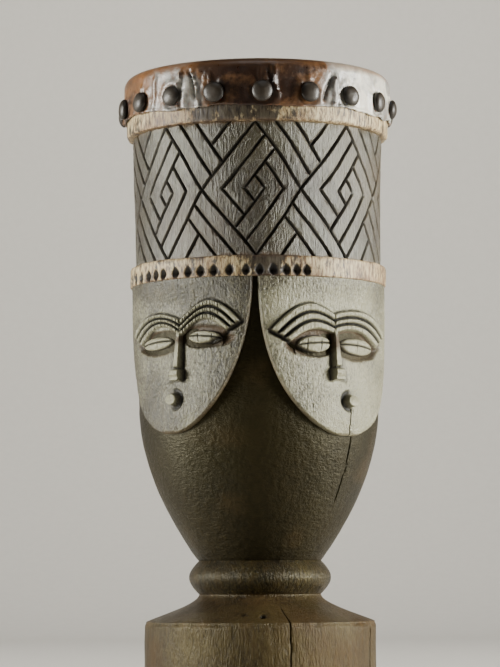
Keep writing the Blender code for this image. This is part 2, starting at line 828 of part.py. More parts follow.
def main():
    clear_scene()
    parts = collection("pedestal_drum")
    cutters = collection("cutters", hidden=True)
    wood = material("carved_hardwood", (0.075, 0.055, 0.038), 0.55)
    rawhide = material("rawhide", (0.28, 0.15, 0.07), 0.5)
    peg_wood = material("peg_hardwood", (0.06, 0.04, 0.028), 0.4)

    body = drum_body(parts, cutters, wood)
    head = drum_head(parts, rawhide)
    holes = add_object("peg_holes", peg_holes(), cutters)
    cut_or_join(body, holes, "DIFFERENCE")
    cut_or_join(head, holes, "DIFFERENCE")
    pegs(parts, peg_wood)


if __name__ == "__main__":
    main()
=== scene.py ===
"""Looks for the pedestal drum: its carving, rawhide head, pegs and wood, with the floor and light.

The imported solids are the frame. Each piece here stands for one of them, or for a stretch of the
body between two natural creases, and repeats the sizes that the solids were made from. Metres,
+Z up, azimuths from the front (-Y) and positive towards +X.
"""

import math
from collections import defaultdict, namedtuple
from functools import partial

import bmesh
import bpy
import numpy as np
from mathutils import Matrix, Vector


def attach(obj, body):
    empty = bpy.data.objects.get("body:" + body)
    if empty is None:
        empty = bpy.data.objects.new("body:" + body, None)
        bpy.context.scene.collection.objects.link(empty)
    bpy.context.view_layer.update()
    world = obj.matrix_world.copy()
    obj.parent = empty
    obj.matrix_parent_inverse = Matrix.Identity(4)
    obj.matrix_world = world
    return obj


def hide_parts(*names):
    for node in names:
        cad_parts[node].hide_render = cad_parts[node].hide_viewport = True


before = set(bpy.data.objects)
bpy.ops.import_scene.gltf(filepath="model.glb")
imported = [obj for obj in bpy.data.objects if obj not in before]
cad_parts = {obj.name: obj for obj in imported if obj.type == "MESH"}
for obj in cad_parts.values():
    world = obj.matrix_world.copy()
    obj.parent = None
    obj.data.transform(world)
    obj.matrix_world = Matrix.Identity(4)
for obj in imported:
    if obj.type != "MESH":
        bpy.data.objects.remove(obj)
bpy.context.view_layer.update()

bl_info = {
    "name": "Pedestal drum",
    "version": (1, 0, 0),
    "blender": (4, 5, 0),
    "location": "3D View > Sidebar > Drum",
    "description": "Carving, rawhide, pegs and finishes for a carved pedestal drum",
    "category": "Add Mesh",
}

MM = 0.001
DEG = math.pi / 180

# Sizes that the solids were made from: a radius, a height, a wall or a length each
UNROLL_R = 130.2 * MM
FOOT_R = 120.5 * MM
FOOT_H = 84.0 * MM
FOOT_BORE_R = 84.0 * MM
FOOT_BORE_H = 38.0 * MM
FOOT_WALL = 20.0 * MM
WAIST_R = 64.0 * MM
RING_R = 74.5 * MM
WAIST_Z = 113.0 * MM
NECK_Z = 148.0 * MM
NECK_BORE_R = 34.0 * MM
BOWL_H = 160.0 * MM
BOWL_R = 126.0 * MM
BOWL_Z = 308.0 * MM
BOWL_WALL = 17.0 * MM
BAND_Z = 434.0 * MM
BAND_R = 134.8 * MM
LATTICE_Z = 455.0 * MM
LATTICE_LOW_R = 129.0 * MM
LATTICE_TOP_R = 131.4 * MM
COLLAR_Z = 592.0 * MM
COLLAR_R = 137.8 * MM
RIM_Z = 653.5 * MM
RIM_ROUND = 8.0 * MM
BORE_R = 113.0 * MM
RIM_LAND = 9.0 * MM
BOWL_BORE_R = BOWL_R - BOWL_WALL
BAND_BORE_R = BOWL_BORE_R + (BORE_R - BOWL_BORE_R) * (BAND_Z - BOWL_Z) / (RIM_Z - RIM_LAND - BOWL_Z)
HIDE_T = 2.6 * MM
HIDE_TOP_Z = 656.4 * MM
HIDE_R = 140.7 * MM
HIDE_SKIRT = 47.5 * MM
HIDE_RIPPLE = 3.5 * MM
HIDE_LOWEST = 25.0 * DEG
PEG_COUNT = 18
PEG_FIRST = 2.0 * DEG
PEG_Z = 620.9 * MM
PEG_HEAD_R = 11.0 * MM
PEG_HEAD_H = 8.4 * MM
PEG_SHANK_R = 4.8 * MM
PEG_SHANK_L = 20.0 * MM

# Notches of the band: their azimuths in degrees, and the step at which they run on
NOTCHES = (
    21.3, 16.7, 12.0, 6.3, 0.5, -5.4, -12.5, -19.5, -25.7, -32.0, -38.8, -46.3, -51.4, -57.0, -64.1,
)
NOTCH_STEP = 7.0
NOTCH_MORE_COUNT = 12
NOTCH_H = 13.0 * MM
NOTCH_MIDDLE = 5.6 * MM
NOTCH_FOOT = 0.9 * MM
NOTCH_HALF = 2.1 * DEG
NOTCH_DEPTH = 6.0 * MM
# Its outline as shares of its half width and of its height up or down, and how far it bulges
NOTCH_OUTLINE = (
    (-1, 0), (-0.66, 0.56), (0, 1), (0.66, 0.56), (1, 0), (0.66, -0.56), (0, -1), (-0.66, -0.56),
)
NOTCH_BULGE = 1.45
# How much wider it is cut than the half width, and the line inside it that keeps its slope true
NOTCH_RIM = 1.1
NOTCH_INNER = 0.74

# A groove's section, as shares of its width from its middle: the end of its steep side, the
# outer edge of its shoulder, and the share of its depth that the steep side climbs
GROOVE_SIDE = 0.42
GROOVE_SHOULDER = 0.64
GROOVE_LOSS = 0.72

# The two crossings in view sway to the left: their azimuths in degrees, height and sway
CROSSINGS = (-23.5, 21.5)
CROSSING_Z = 523 * MM
CROSSING_SWAY = 5.2 * MM

# Lattice: one repeat's lines. Across, 0 is a lozenge's middle and 1 the crossing to its right,
# and up, -1 and 1 are the wall's two edges.
LATTICE_REPEATS = 8
LATTICE_FIRST = -23.5 * DEG
MOTIF = (
    ((0.0, 1.0), (2.0, -1.0)),
    ((0.0, -1.0), (2.0, 1.0)),
    ((0.2, 0.8), (-0.6, 0.0)),
    ((-0.6, 0.0), (-0.2, -0.4)),
    ((0.4, 0.6), (-0.2, 0.0)),
    ((-0.2, 0.0), (0.0, -0.2)),
    ((0.2, 0.4), (0.6, 0.0)),
    ((0.6, 0.0), (-0.2, -0.8)),
    ((0.0, 0.2), (0.2, 0.0)),
    ((0.2, 0.0), (-0.4, -0.6)),
    ((0.4, 1.0), (1.2, 0.2)),
    ((0.8, 1.0), (1.4, 0.4)),
    ((1.5, 1.0), (1.15, 0.65)),
    ((0.8, -0.2), (1.6, -1.0)),
    ((0.6, -0.4), (1.2, -1.0)),
    ((0.85, -0.65), (0.5, -1.0)),
)

# Columns round the upper wall, the turned parts, the skin and a peg
WALL_COLUMNS = 256
TURNED_COLUMNS = 336
HIDE_COLUMNS = 448
PEG_COLUMNS = 32
# Columns past each end of the unrolled wall, which are cut off once it is scored
SPARE_COLUMNS = 5
# The height of a row of its faces, one turn's length and where the turn starts
WALL_ROW = 4.4 * MM
TURN = 2 * math.pi * UNROLL_R
SEAM = LATTICE_FIRST * UNROLL_R - TURN / 2

# One side of a face, as degrees from its nose line and millimetres below its top: the brow's
# tip, its rise over a straight line from the bridge and its skew, then the eyelid and the eye
Side = namedtuple("Side", "brow_span brow_tip rise skew lid_span lid_tip lid_rise eye eye_drop")

# A face: its nose line, how far its outer side is drawn out, its brows' and its eyelids' bridge,
# its eyes' half height, its mouth, its two sides, and the grooves under its eyes
Face = namedtuple(
    "Face", "nose stretch bridge lid_bridge eye_half_h mouth mouth_drop inner outer grooves"
)
RIGHT_FACE = Face(
    nose=-8.3,
    stretch=1.45,
    bridge=37.0,
    lid_bridge=57.0,
    eye_half_h=9.0,
    mouth=5.9,
    mouth_drop=125.0,
    inner=Side(31.6, 55.5, 18.5, 1.05, 23.5, 68.0, 9.0, 10.8, 68.5),
    outer=Side(35.0, 55.5, 11.5, 0.85, 23.0, 68.0, 8.7, 10.8, 69.0),
    grooves=(
        (
            (-31.8, 56.5), (-27, 62), (-23, 67.5), (-19, 73),
            (-14, 77.5), (-8.5, 79.5), (-4, 77), (-2.5, 72),
        ),
        ((2.6, 72), (4, 78), (8, 81.5), (13, 81), (19.5, 76.5), (29, 66)),
    ),
)
LEFT_FACE = Face(
    nose=-6.2,
    stretch=1.36,
    bridge=41.5,
    lid_bridge=59.0,
    eye_half_h=7.0,
    mouth=1.9,
    mouth_drop=122.6,
    inner=Side(30.9, 45.9, 20.7, 1.15, 24.9, 56.0, 14.9, 13.8, 60.9),
    outer=Side(32.8, 54.0, 12.9, 0.85, 21.6, 66.0, 14.5, 11.7, 64.1),
    grooves=(
        (
            (-31.5, 46.5), (-28, 51.5), (-24.5, 57), (-21, 63),
            (-16, 68), (-10.5, 69.5), (-6, 68), (-4, 65),
        ),
        ((3.5, 70), (7, 73), (12, 74.5), (18, 73), (23.5, 67.5), (27, 62)),
    ),
)
BACK_SIDE = Side(32.8, 54.0, 17.0, 0.85, 21.6, 66.0, 12.0, 11.5, 68.5)
BACK_FACE = Face(
    nose=-5.7,
    stretch=1.36,
    bridge=38.0,
    lid_bridge=57.5,
    eye_half_h=8.0,
    mouth=4.0,
    mouth_drop=124.0,
    inner=BACK_SIDE,
    outer=BACK_SIDE,
    grooves=(
        ((-32, 55), (-27, 61.5), (-21, 69), (-15, 75.5), (-9, 78), (-4, 75)),
        ((3, 74), (7, 78.5), (13, 79), (19, 75), (28, 65)),
    ),
)

# A mask's rows are spaced by a sine over this share of a half turn, closer towards its tip
MASK_ROWS = 0.47

# Masks: centre azimuth, side its nose leans from, half width at its top, height, taper, brow
# ridges, the cuts that divide each of its blank's cells, how far its carving is nicked, how far
# its high places are rubbed, and its face. The right mask's rubbed level is raised partly as
# painted light: it is paler than the left, on the side where the stronger light falls.
Mask = namedtuple("Mask", "name centre lean half_width height taper ridges cuts nicked rubbed face")
MASK_CELLS = (16, 12)
MASKS = (
    Mask("right", 45.0, 1, 45.4, 161.0, 2.3, 3, 20, 0.3, 0.56, RIGHT_FACE),
    Mask("left", -45.0, -1, 42.6, 157.5, 1.85, 3, 20, 1.0, 0.22, LEFT_FACE),
    Mask("back_right", 135.0, -1, 42.6, 160.0, 2.2, 2, 11, 0.0, 0.26, BACK_FACE),
    Mask("back_left", -135.0, 1, 42.6, 160.0, 2.2, 2, 11, 0.0, 0.22, BACK_FACE),
)
MASK_RELIEF = 6.8
MASK_HOLLOW = 5.4
EASE_SPAN = 35.0
OUTER_EASE = 0.26
# Millimetres that a degree takes up on a mask, and how much more on its outer side
MM_A_DEGREE = 128.0 * DEG
OUTER_DRAW = 1.28


def linear(colour):
    """An sRGB hex colour as the linear red, green and blue that a shader takes."""
    parts = [int(colour[i : i + 2], 16) / 255 for i in (1, 3, 5)]
    return tuple(p / 12.92 if p <= 0.04045 else ((p + 0.055) / 1.055) ** 2.4 for p in parts)


def smooth(values):
    """0 to 1 with soft ends, for numbers or arrays."""
    t = unit(values)
    return t * t * (3 - 2 * t)


def unit(values):
    """Values held between 0 and 1."""
    return np.clip(values, 0, 1)


def bell(away, width):
    """1 at the middle, falling smoothly to nearly nothing two widths away."""
    return np.exp(-((away / width) ** 2))


def turned_from(azimuth, middle):
    """The angle from a middle, the short way round."""
    return np.mod(azimuth - middle + math.pi, 2 * math.pi) - math.pi


def polar(radius, azimuth, height):
    """Points from their distance from the axis, azimuth and height."""
    return np.stack([radius * np.sin(azimuth), -radius * np.cos(azimuth), height + 0 * azimuth], -1)


def unpolar(points):
    """Azimuth, radius and height of points."""
    return np.arctan2(points[:, 0], -points[:, 1]), np.hypot(points[:, 0], points[:, 1]), points[:, 2]


def lumps(points, size, seed):
    """Smooth noise from -1 to 1 at each point, its lumps about a size across."""
    place = points / size
    cell = np.floor(place).astype(np.int64)
    share = place - cell
    share = share * share * (3 - 2 * share)
    total = np.zeros(len(points))
    for corner in range(8):
        step = np.array([corner & 1, corner >> 1 & 1, corner >> 2 & 1])
        x, y, z = (cell + step).T
        mixed = (x * 73856093 ^ y * 19349663 ^ z * 83492791 ^ seed * 2654435761) & 0x7FFFFFFF
        mixed = (mixed ^ mixed >> 13) * 1274126177 & 0x7FFFFFFF
        value = (mixed ^ mixed >> 16) % 65536 / 32767.5 - 1
        total += value * np.prod(np.where(step, share, 1 - share), axis=1)
    return total


def read_points(mesh):
    points = np.empty(len(mesh.vertices) * 3)
    mesh.vertices.foreach_get("co", points)
    return points.reshape(-1, 3)


def write_points(mesh, points):
    mesh.vertices.foreach_set("co", points.astype(np.float32).ravel())
    mesh.update()


def read_mark(mesh, name):
    values = np.empty(len(mesh.vertices), np.float32)
    mesh.attributes[name].data.foreach_get("value", values)
    return values


def mark(mesh, name, values):
    """Stores a number for each vertex, which the materials read by name."""
    found = mesh.attributes.get(name) or mesh.attributes.new(name, "FLOAT", "POINT")
    found.data.foreach_set("value", np.asarray(values, np.float32))


def as_mesh(name, bm):
    """A shape as a mesh, its faces turned outwards."""
    mesh = bpy.data.meshes.new(name)
    bmesh.ops.recalc_face_normals(bm, faces=bm.faces[:])
    bm.to_mesh(mesh)
    bm.free()
    return mesh


def place_piece(name, mesh, finishes, node, crease=38):
    """Puts a finished mesh in the scene as the piece that stands for a solid."""
    for finish in finishes:
        mesh.materials.append(finish)
    mesh.shade_smooth()
    mesh.set_sharp_from_angle(angle=crease * DEG)
    obj = bpy.data.objects.new(name, mesh)
    bpy.context.scene.collection.objects.link(obj)
    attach(obj, "root")
    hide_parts(node)
    return obj


def spaced(points, step):
    """A profile's corners with points between them, at most a step apart."""
    found = []
    for (r0, z0), (r1, z1) in zip(points, points[1:]):
        count = max(1, math.ceil(math.hypot(r1 - r0, z1 - z0) / step))
        found += [(r0 + (r1 - r0) * i / count, z0 + (z1 - z0) * i / count) for i in range(count)]
    return found + [points[-1]]


def spun(profile, steps, closed=True):
    """A shape spun about Z from (radius, height) points. An open profile ends on the axis."""
    bm = bmesh.new()
    verts = [bm.verts.new((0, -radius, height)) for radius, height in profile]
    pairs = zip(verts, verts[1:] + verts[:1]) if closed else zip(verts, verts[1:])
    edges = [bm.edges.new(pair) for pair in pairs]
    bmesh.ops.spin(
        bm,
        geom=verts + edges,
        cent=(0, 0, 0),
        axis=(0, 0, 1),
        angle=2 * math.pi,
        steps=steps,
        use_merge=True,
    )
    bmesh.ops.remove_doubles(bm, verts=bm.verts[:], dist=0.005 * MM)
    return bm


def bowl_radius(z):
    """The bowl's outer radius at a height, and the plain wall's above it."""
    t = unit((z - NECK_Z) / BOWL_H)
    return WAIST_R + (BOWL_R - WAIST_R) * np.sin(t * math.pi / 2) ** 0.9


def use_inputs(tree, node, inputs):
    """Gives a node's inputs, by name or place, a value each, or the socket that feeds them."""
    for name, value in inputs.items() if isinstance(inputs, dict) else enumerate(inputs):
        socket = node.inputs[name]
        if isinstance(value, bpy.types.NodeSocket):
            tree.links.new(value, socket)
        else:
            socket.default_value = (*value, 1.0) if socket.type == "RGBA" else value


def add_node(tree, kind, inputs=(), out=0, stops=(), **properties):
    """Adds a node with its properties, a ramp's stops and its inputs, and gives one output."""
    node = tree.nodes.new("ShaderNode" + kind)
    for name, value in properties.items():
        setattr(node, name, value)
    if stops:
        ramp = node.color_ramp
        while len(ramp.elements) < len(stops):
            ramp.elements.new(0.5)
        for stop, (position, colour) in zip(ramp.elements, stops):
            stop.position = position
            stop.color = (*colour, 1.0)
    use_inputs(tree, node, inputs)
    return node.outputs[out]


def new_finish(name):
    """A new material, its node tree and its shader."""
    made = bpy.data.materials.new(name)
    made.use_nodes = True
    return made, made.node_tree, made.node_tree.nodes["Principled BSDF"]


def layered(tree, colour, *layers):
    """A colour with others laid over it in turn, each by its own share."""
    for share, over in layers:
        colour = add_node(tree, "Mix", {0: share, 6: colour, 7: over}, out=2, data_type="RGBA")
    return colour


def marked(tree, name, share=1.0):
    """A vertex mark of the piece as a number, or a share of it."""
    found = add_node(tree, "Attribute", out="Fac", attribute_name=name)
    return add_node(tree, "Math", (found, share), operation="MULTIPLY")


def broken_up(tree, name, pattern, more):
    """A vertex mark of the piece, broken up by a pattern that has a little added to it."""
    fuller = add_node(tree, "Math", (pattern, more), operation="ADD")
    return add_node(tree, "Math", (marked(tree, name), fuller), operation="MULTIPLY", use_clamp=True)


def grain(tree, width, length, detail=3.0, rough=0.55):
    """Noise drawn out along the log: its streaks are a width across and a length tall."""
    place = add_node(tree, "TexCoord", out="Object")
    drawn = add_node(tree, "Mapping", {"Vector": place, "Scale": (1.0, 1.0, width / length)})
    inputs = {"Vector": drawn, "Scale": 1 / (2.2 * width), "Detail": detail, "Roughness": rough}
    return add_node(tree, "TexNoise", inputs, out="Fac")


def grey(value):
    """A number as a ramp's colour."""
    return (value, value, value)


def smoked_wood(name, ground, streak, rubbed, dust_and_shade, sheen, across, fleck, gloss, polish):
    """Tropical hardwood, knife-carved, then blackened by smoke and oil and rubbed by hands.

    The smoke leaves a near-black ground under flecks of a millimetre or a few, upright as the
    pores run, or across on the bowl as the adze ran. Where the mesh is marked as rubbed, and
    here and there elsewhere, hands have worn it to a greyer, glossier skin with a thin polish;
    on the masks that mark also holds painted highlight and painted shade. Cuts are painted black
    and dull, for dirt in them and for the shade that falls in them, and the hollows beside them
    keep dry brown dirt, which beside the grooves under the eyes is partly painted shade.
    """
    made, tree, shader = new_finish(name)
    node = partial(add_node, tree)
    flecks = grain(tree, across, fleck, 4.0, 0.68)
    streaks = grain(tree, 2.4 * MM, fleck * 3.5, 3.0, 0.6)
    clouds = grain(tree, 22 * MM, 30 * MM)
    level = node("Math", (clouds, 0.4), operation="MULTIPLY")
    level = node("Math", (flecks, 0.6, level), operation="MULTIPLY_ADD")
    level = node("Math", (marked(tree, "rub"), 0.34, level), operation="MULTIPLY_ADD")
    wear_and_painted_light = node("ValToRGB", (level,), stops=[(0.52, grey(0)), (0.72, grey(1))])
    cut = marked(tree, "deep")
    uncut = node("Math", (1.0, cut), operation="SUBTRACT", use_clamp=True)
    wear_and_painted_light = node("Math", (wear_and_painted_light, uncut), operation="MULTIPLY", use_clamp=True)
    dusty_and_shaded = broken_up(tree, "dust_and_shade", streaks, 0.45)
    skin = layered(
        tree,
        node("ValToRGB", (streaks,), stops=[(0.4, ground), (0.64, streak)]),
        (wear_and_painted_light, rubbed),
        (dusty_and_shaded, dust_and_shade),
        (broken_up(tree, "edge", streaks, 0.2), linear("#5c482d")),
        # Painted shade with dirt: the places marked deep go near black
        (marked(tree, "deep", 0.95), linear("#090705")),
    )
    rough = node("ValToRGB", (wear_and_painted_light,), stops=[(0.0, grey(gloss + 0.16)), (1.0, grey(gloss))])
    dull = node("Math", (dusty_and_shaded, cut), operation="MAXIMUM")
    height = node("Math", (streaks, 0.9, flecks), operation="MULTIPLY_ADD")
    uneven = node("Bump", {"Strength": 0.9, "Distance": 1.2 * MM, "Height": height})
    inputs = {
        "Base Color": skin,
        "Roughness": layered(tree, rough, (dull, grey(0.85))),
        "IOR": 1.46,
        "Specular Tint": sheen,
        "Coat Weight": polish,
        "Coat Roughness": 0.24,
        "Normal": uneven,
        "Coat Normal": uneven,
    }
    use_inputs(tree, shader, inputs)
    return made


def rubbed_band_wood(name, pale, tan, rust, dark):
    """The same log where the bands were rubbed with pale clay: it is chalky, and dark or rusty
    where the clay has worn off in short upright flecks 1 to 3 mm wide. The mark for dirt wears
    off more clay, and in the front middle that mark holds painted shade."""
    made, tree, shader = new_finish(name)
    node = partial(add_node, tree)
    flecks = grain(tree, 1.1 * MM, 5 * MM, 4.0, 0.65)
    patches = grain(tree, 5 * MM, 7 * MM, 4.0, 0.62)
    stains = grain(tree, 36 * MM, 20 * MM, 2.0, 0.5)
    left = node("Math", (patches, marked(tree, "dust_and_shade", 0.3)), operation="SUBTRACT")
    clay = layered(
        tree,
        node("ValToRGB", (flecks,), stops=[(0.38, dark), (0.46, tan), (0.6, pale)]),
        (node("ValToRGB", (stains,), stops=[(0.5, grey(0)), (0.68, grey(0.5))]), rust),
        (node("ValToRGB", (left,), stops=[(0.3, grey(0.9)), (0.41, grey(0))]), dark),
        (marked(tree, "deep", 0.95), linear("#0e0906")),
        (marked(tree, "edge", 0.4), rust),
    )
    inputs = {
        "Base Color": clay,
        "Roughness": node("ValToRGB", (flecks,), stops=[(0.3, grey(0.46)), (0.7, grey(0.66))]),
        "Normal": node("Bump", {"Strength": 0.7, "Distance": 0.9 * MM, "Height": flecks}),
    }
    use_inputs(tree, shader, inputs)
    return made


def dried_rawhide(name, brown, tan, pale, orange, bluish):
    """Goat rawhide, scraped and dried tight: horny, half glossy, brown where it is thick with
    smoke, chalky where hands and light have bleached it, and orange where the rim's edge shows
    light through, which is painted light. On the right the pale share is partly a painted
    highlight, and the creases and the rings round the pegs are painted dark as shade. Its
    mottling is about 5 mm across, and fine skin wrinkles lie 2 mm apart."""
    made, tree, shader = new_finish(name)
    node = partial(add_node, tree)
    place = node("TexCoord", out="Object")
    cloudy = {"Vector": place, "Scale": 1 / (29.41 * MM), "Detail": 5.0, "Roughness": 0.62}
    clouds = node("TexNoise", {**cloudy, "Distortion": 0.6}, out="Fac")
    spotty = {"Vector": place, "Scale": 1 / (5.263 * MM), "Detail": 4.0, "Roughness": 0.6}
    mottle = node("TexNoise", spotty, out="Fac")
    lined = {"Vector": place, "Scale": 1 / (1.923 * MM), "Randomness": 1.0}
    wrinkles = node("TexVoronoi", lined, out="Distance", feature="DISTANCE_TO_EDGE")
    share = marked(tree, "pale")
    for pattern, weight in ((clouds, 1.2), (mottle, 0.35)):
        swing = node("Math", (pattern, 0.5), operation="SUBTRACT")
        swing = node("Math", (swing, weight), operation="MULTIPLY")
        share = node("Math", (share, swing), operation="ADD", use_clamp=True)
    skin = layered(
        tree,
        node("ValToRGB", (share,), stops=[(0.08, brown), (0.36, tan), (0.6, bluish), (0.92, pale)]),
        (broken_up(tree, "rim", clouds, 0.4), orange),
        (marked(tree, "deep", 0.88), linear("#170e08")),
    )
    height = node("Math", (wrinkles, 0.5), operation="MULTIPLY")
    height = node("Math", (mottle, 1.2, height), operation="MULTIPLY_ADD")
    inputs = {
        "Base Color": skin,
        "Roughness": node("ValToRGB", (mottle,), stops=[(0.3, grey(0.27)), (0.7, grey(0.44))]),
        "IOR": 1.54,
        "Subsurface Weight": 0.12,
        "Subsurface Radius": (4.0 * MM, 1.6 * MM, 0.6 * MM),
        "Subsurface Scale": 1.0,
        "Normal": node("Bump", {"Strength": 0.5, "Distance": 0.6 * MM, "Height": height}),
    }
    use_inputs(tree, shader, inputs)
    return made


def peg_wood(name, dark, mid, rubbed):
    """Dense hardwood whittled to a ball and polished by palms: dark and half glossy, cloudy over
    8 mm, with pores 1 to 2 mm apart and a paler crown. Its knife flats are in the mesh."""
    made, tree, shader = new_finish(name)
    node = partial(add_node, tree)
    place = node("TexCoord", out="Object")
    cloudy = {"Vector": place, "Scale": 1 / (8.333 * MM), "Detail": 4.0, "Roughness": 0.6}
    clouds = node("TexNoise", cloudy, out="Fac")
    porous = {"Vector": place, "Scale": 1 / (1.4286 * MM), "Detail": 3.0, "Roughness": 0.6}
    specks = node("TexNoise", porous, out="Fac")
    ground = node("ValToRGB", (clouds,), stops=[(0.32, dark), (0.68, mid)])
    inputs = {
        "Base Color": layered(tree, ground, (broken_up(tree, "edge", specks, 0.3), rubbed)),
        "Roughness": node("ValToRGB", (specks,), stops=[(0.3, grey(0.36)), (0.7, grey(0.52))]),
        "Normal": node("Bump", {"Strength": 0.35, "Distance": 0.4 * MM, "Height": specks}),
    }
    use_inputs(tree, shader, inputs)
    return made


def matt_paint(name, colour):
    """Emulsion paint on a smooth board: flat and even, with only a trace of roller texture."""
    made, tree, shader = new_finish(name)
    place = add_node(tree, "TexCoord", out="Object")
    rolled = {"Vector": place, "Scale": 1 / (16.67 * MM), "Detail": 3.0}
    roller = add_node(tree, "TexNoise", rolled, out="Fac")
    darker = [c * 0.97 for c in colour]
    tint = add_node(tree, "ValToRGB", (roller,), stops=[(0.3, darker), (0.7, colour)])
    use_inputs(tree, shader, {"Base Color": tint, "Roughness": 0.85})
    return made


def wood_for(zone, settings):
    """The body's finish for one zone, made once."""
    found = bpy.data.materials.get(zone)
    if found:
        return found
    if zone == "clay_rubbed_hardwood":
        tan, rust, bare = linear("#8a7350"), linear("#5e3b22"), linear("#1c140b")
        return rubbed_band_wood(zone, settings.clay, tan, rust, bare)
    dark, mid, dust_and_shade = settings.smoke, settings.heartwood, linear("#4c3620")
    silvery, oily = linear("#f0f1e4"), linear("#a39a6b")
    olive, moss = linear("#29241a"), linear("#3e3724")
    # Ground, streaks, rubbed wood, dust and sheen
    colours = {
        "smoked_hardwood_mask": (olive, moss, settings.worn, linear("#43331f"), silvery),
        "smoked_hardwood_lattice": (dark, mid, settings.rubbed, dust_and_shade, silvery),
        "smoked_hardwood_foot": (dark, linear("#2c2312"), linear("#484024"), dust_and_shade, oily),
        "smoked_hardwood_bowl": (dark, mid, linear("#1d1a0e"), linear("#29200e"), oily),
    }
    # The flecks' width and length, the rubbed wood's roughness and how much polish it has
    surfaces = {
        "smoked_hardwood_mask": (0.8 * MM, 1.5 * MM, 0.25, 0.3),
        "smoked_hardwood_lattice": (0.8 * MM, 4.0 * MM, 0.2, 0.4),
        "smoked_hardwood_foot": (0.8 * MM, 3.0 * MM, 0.27, 0.12),
        "smoked_hardwood_bowl": (2.6 * MM, 1.1 * MM, 0.3, 0.04),
    }
    return smoked_wood(zone, *colours[zone], *surfaces[zone])


def wall_section():
    """The upper wall's closed section as (radius, height), up the outside and down the bore."""
    outside = [(BAND_R - 1.2 * MM, BAND_Z), (BAND_R - 0.2 * MM, BAND_Z + 0.8 * MM)]
    outside += spaced([(BAND_R, BAND_Z + 2 * MM), (BAND_R, LATTICE_Z - 2.5 * MM)], 2.2 * MM)
    outside += [(BAND_R - 0.7 * MM, LATTICE_Z - 0.7 * MM), (BAND_R - 2.2 * MM, LATTICE_Z)]
    outside += spaced([(LATTICE_LOW_R, LATTICE_Z), (LATTICE_TOP_R, COLLAR_Z)], WALL_ROW)
    outside += [(COLLAR_R - 2.8 * MM, COLLAR_Z), (COLLAR_R - 0.9 * MM, COLLAR_Z + 0.8 * MM)]
    outside += spaced([(COLLAR_R, COLLAR_Z + 3 * MM), (COLLAR_R, COLLAR_Z + 21 * MM)], 2.0 * MM)
    outside += [(COLLAR_R, RIM_Z - RIM_ROUND), (COLLAR_R - RIM_ROUND, RIM_Z), (BORE_R + RIM_LAND, RIM_Z)]
    return outside + [(BORE_R, RIM_Z - RIM_LAND), (BAND_BORE_R, BAND_Z)]


def unrolled_wall():
    """The section drawn out straight, with spare columns past both ends of one turn."""
    bm = bmesh.new()
    width = TURN / WALL_COLUMNS
    start = SEAM - SPARE_COLUMNS * width
    ring = [bm.verts.new((start, radius, height)) for radius, height in wall_section()]
    edges = [bm.edges.new((a, b)) for a, b in zip(ring, ring[1:] + ring[:1])]
    for _ in range(WALL_COLUMNS + 2 * SPARE_COLUMNS):
        made = bmesh.ops.extrude_edge_only(bm, edges=edges)["geom"]
        verts = {g for g in made if isinstance(g, bmesh.types.BMVert)}
        edges = [g for g in made if isinstance(g, bmesh.types.BMEdge) and verts.issuperset(g.verts)]
        bmesh.ops.translate(bm, verts=list(verts), vec=(width, 0, 0))
    return bm


def cell_of(x, z):
    """The column and row of a place in the unrolled wall."""
    return (math.floor((x - SEAM) / (TURN / WALL_COLUMNS)), math.floor((z - BAND_Z) / WALL_ROW))


def outer_cells(bm):
    """The faces of the band and the lattice, filed by where they lie, so that a cut finds them."""
    cells = defaultdict(set)
    for face in bm.faces:
        middle = face.calc_center_median()
        if BAND_Z < middle.z < COLLAR_Z and middle.y > LATTICE_LOW_R - MM:
            cells[cell_of(middle.x, middle.z)].add(face)
    return cells


def cut_line(bm, cells, start, end):
    """Cuts the faces that a line crosses within its own length, in the unrolled wall."""
    along = end - start
    length = along.length
    along.normalize()
    across = Vector((along.y, -along.x))
    (c0, r0), (c1, r1) = cell_of(*start), cell_of(*end)
    slope = (r1 - r0) / (c1 - c0) if c1 != c0 else 0.0
    found = set()
    for column in range(min(c0, c1) - 1, max(c0, c1) + 2):
        middle = r0 + slope * (column - c0)
        reach = abs(slope) + 2 if c1 != c0 else abs(r1 - r0) + 2
        for row in range(math.floor(middle - reach), math.ceil(middle + reach) + 1):
            for face in cells.get((column, row), ()):
                points = [Vector((v.co.x, v.co.z)) - start for v in face.verts]
                sides = [p.dot(across) for p in points]
                runs = [p.dot(along) for p in points]
                if min(sides) < -1e-6 and max(sides) > 1e-6 and min(runs) < length and max(runs) > 0:
                    found.add(face)
    for face in found:
        middle = face.calc_center_median()
        cells[cell_of(middle.x, middle.z)].discard(face)
    edges = {e for f in found for e in f.edges}
    verts = {v for f in found for v in f.verts}
    made = bmesh.ops.bisect_plane(
        bm,
        geom=list(found) + list(edges) + list(verts),
        dist=0.03 * MM,
        plane_co=(start.x, 0, start.y),
        plane_no=(across.x, 0, across.y),
    )["geom"]
    for face in (g for g in made if isinstance(g, bmesh.types.BMFace)):
        middle = face.calc_center_median()
        cells[cell_of(middle.x, middle.z)].add(face)


def lattice_lines():
    """Every groove as two points (arc length, height), with those over the seam at both ends."""
    half = TURN / LATTICE_REPEATS / 2
    tall = (COLLAR_Z - LATTICE_Z) / 2
    reach = (SPARE_COLUMNS - 1) * TURN / WALL_COLUMNS
    lines = []
    for repeat in range(-2, LATTICE_REPEATS + 3):
        middle = SEAM + (2 * repeat - 1) * half
        for ends in MOTIF:
            line = [Vector((middle + a * half, LATTICE_Z + tall * (1 + b))) for a, b in ends]
            if min(p.x for p in line) < SEAM + TURN + reach and max(p.x for p in line) > SEAM - reach:
                lines.append(line)
    return lines


def notch_middles():
    """The middle of each notch, in the unrolled wall."""
    more = [NOTCHES[-1] - (i + 1) * NOTCH_STEP for i in range(NOTCH_MORE_COUNT)]
    return [Vector((azimuth * DEG * UNROLL_R, BAND_Z + NOTCH_MIDDLE)) for azimuth in (*NOTCHES, *more)]


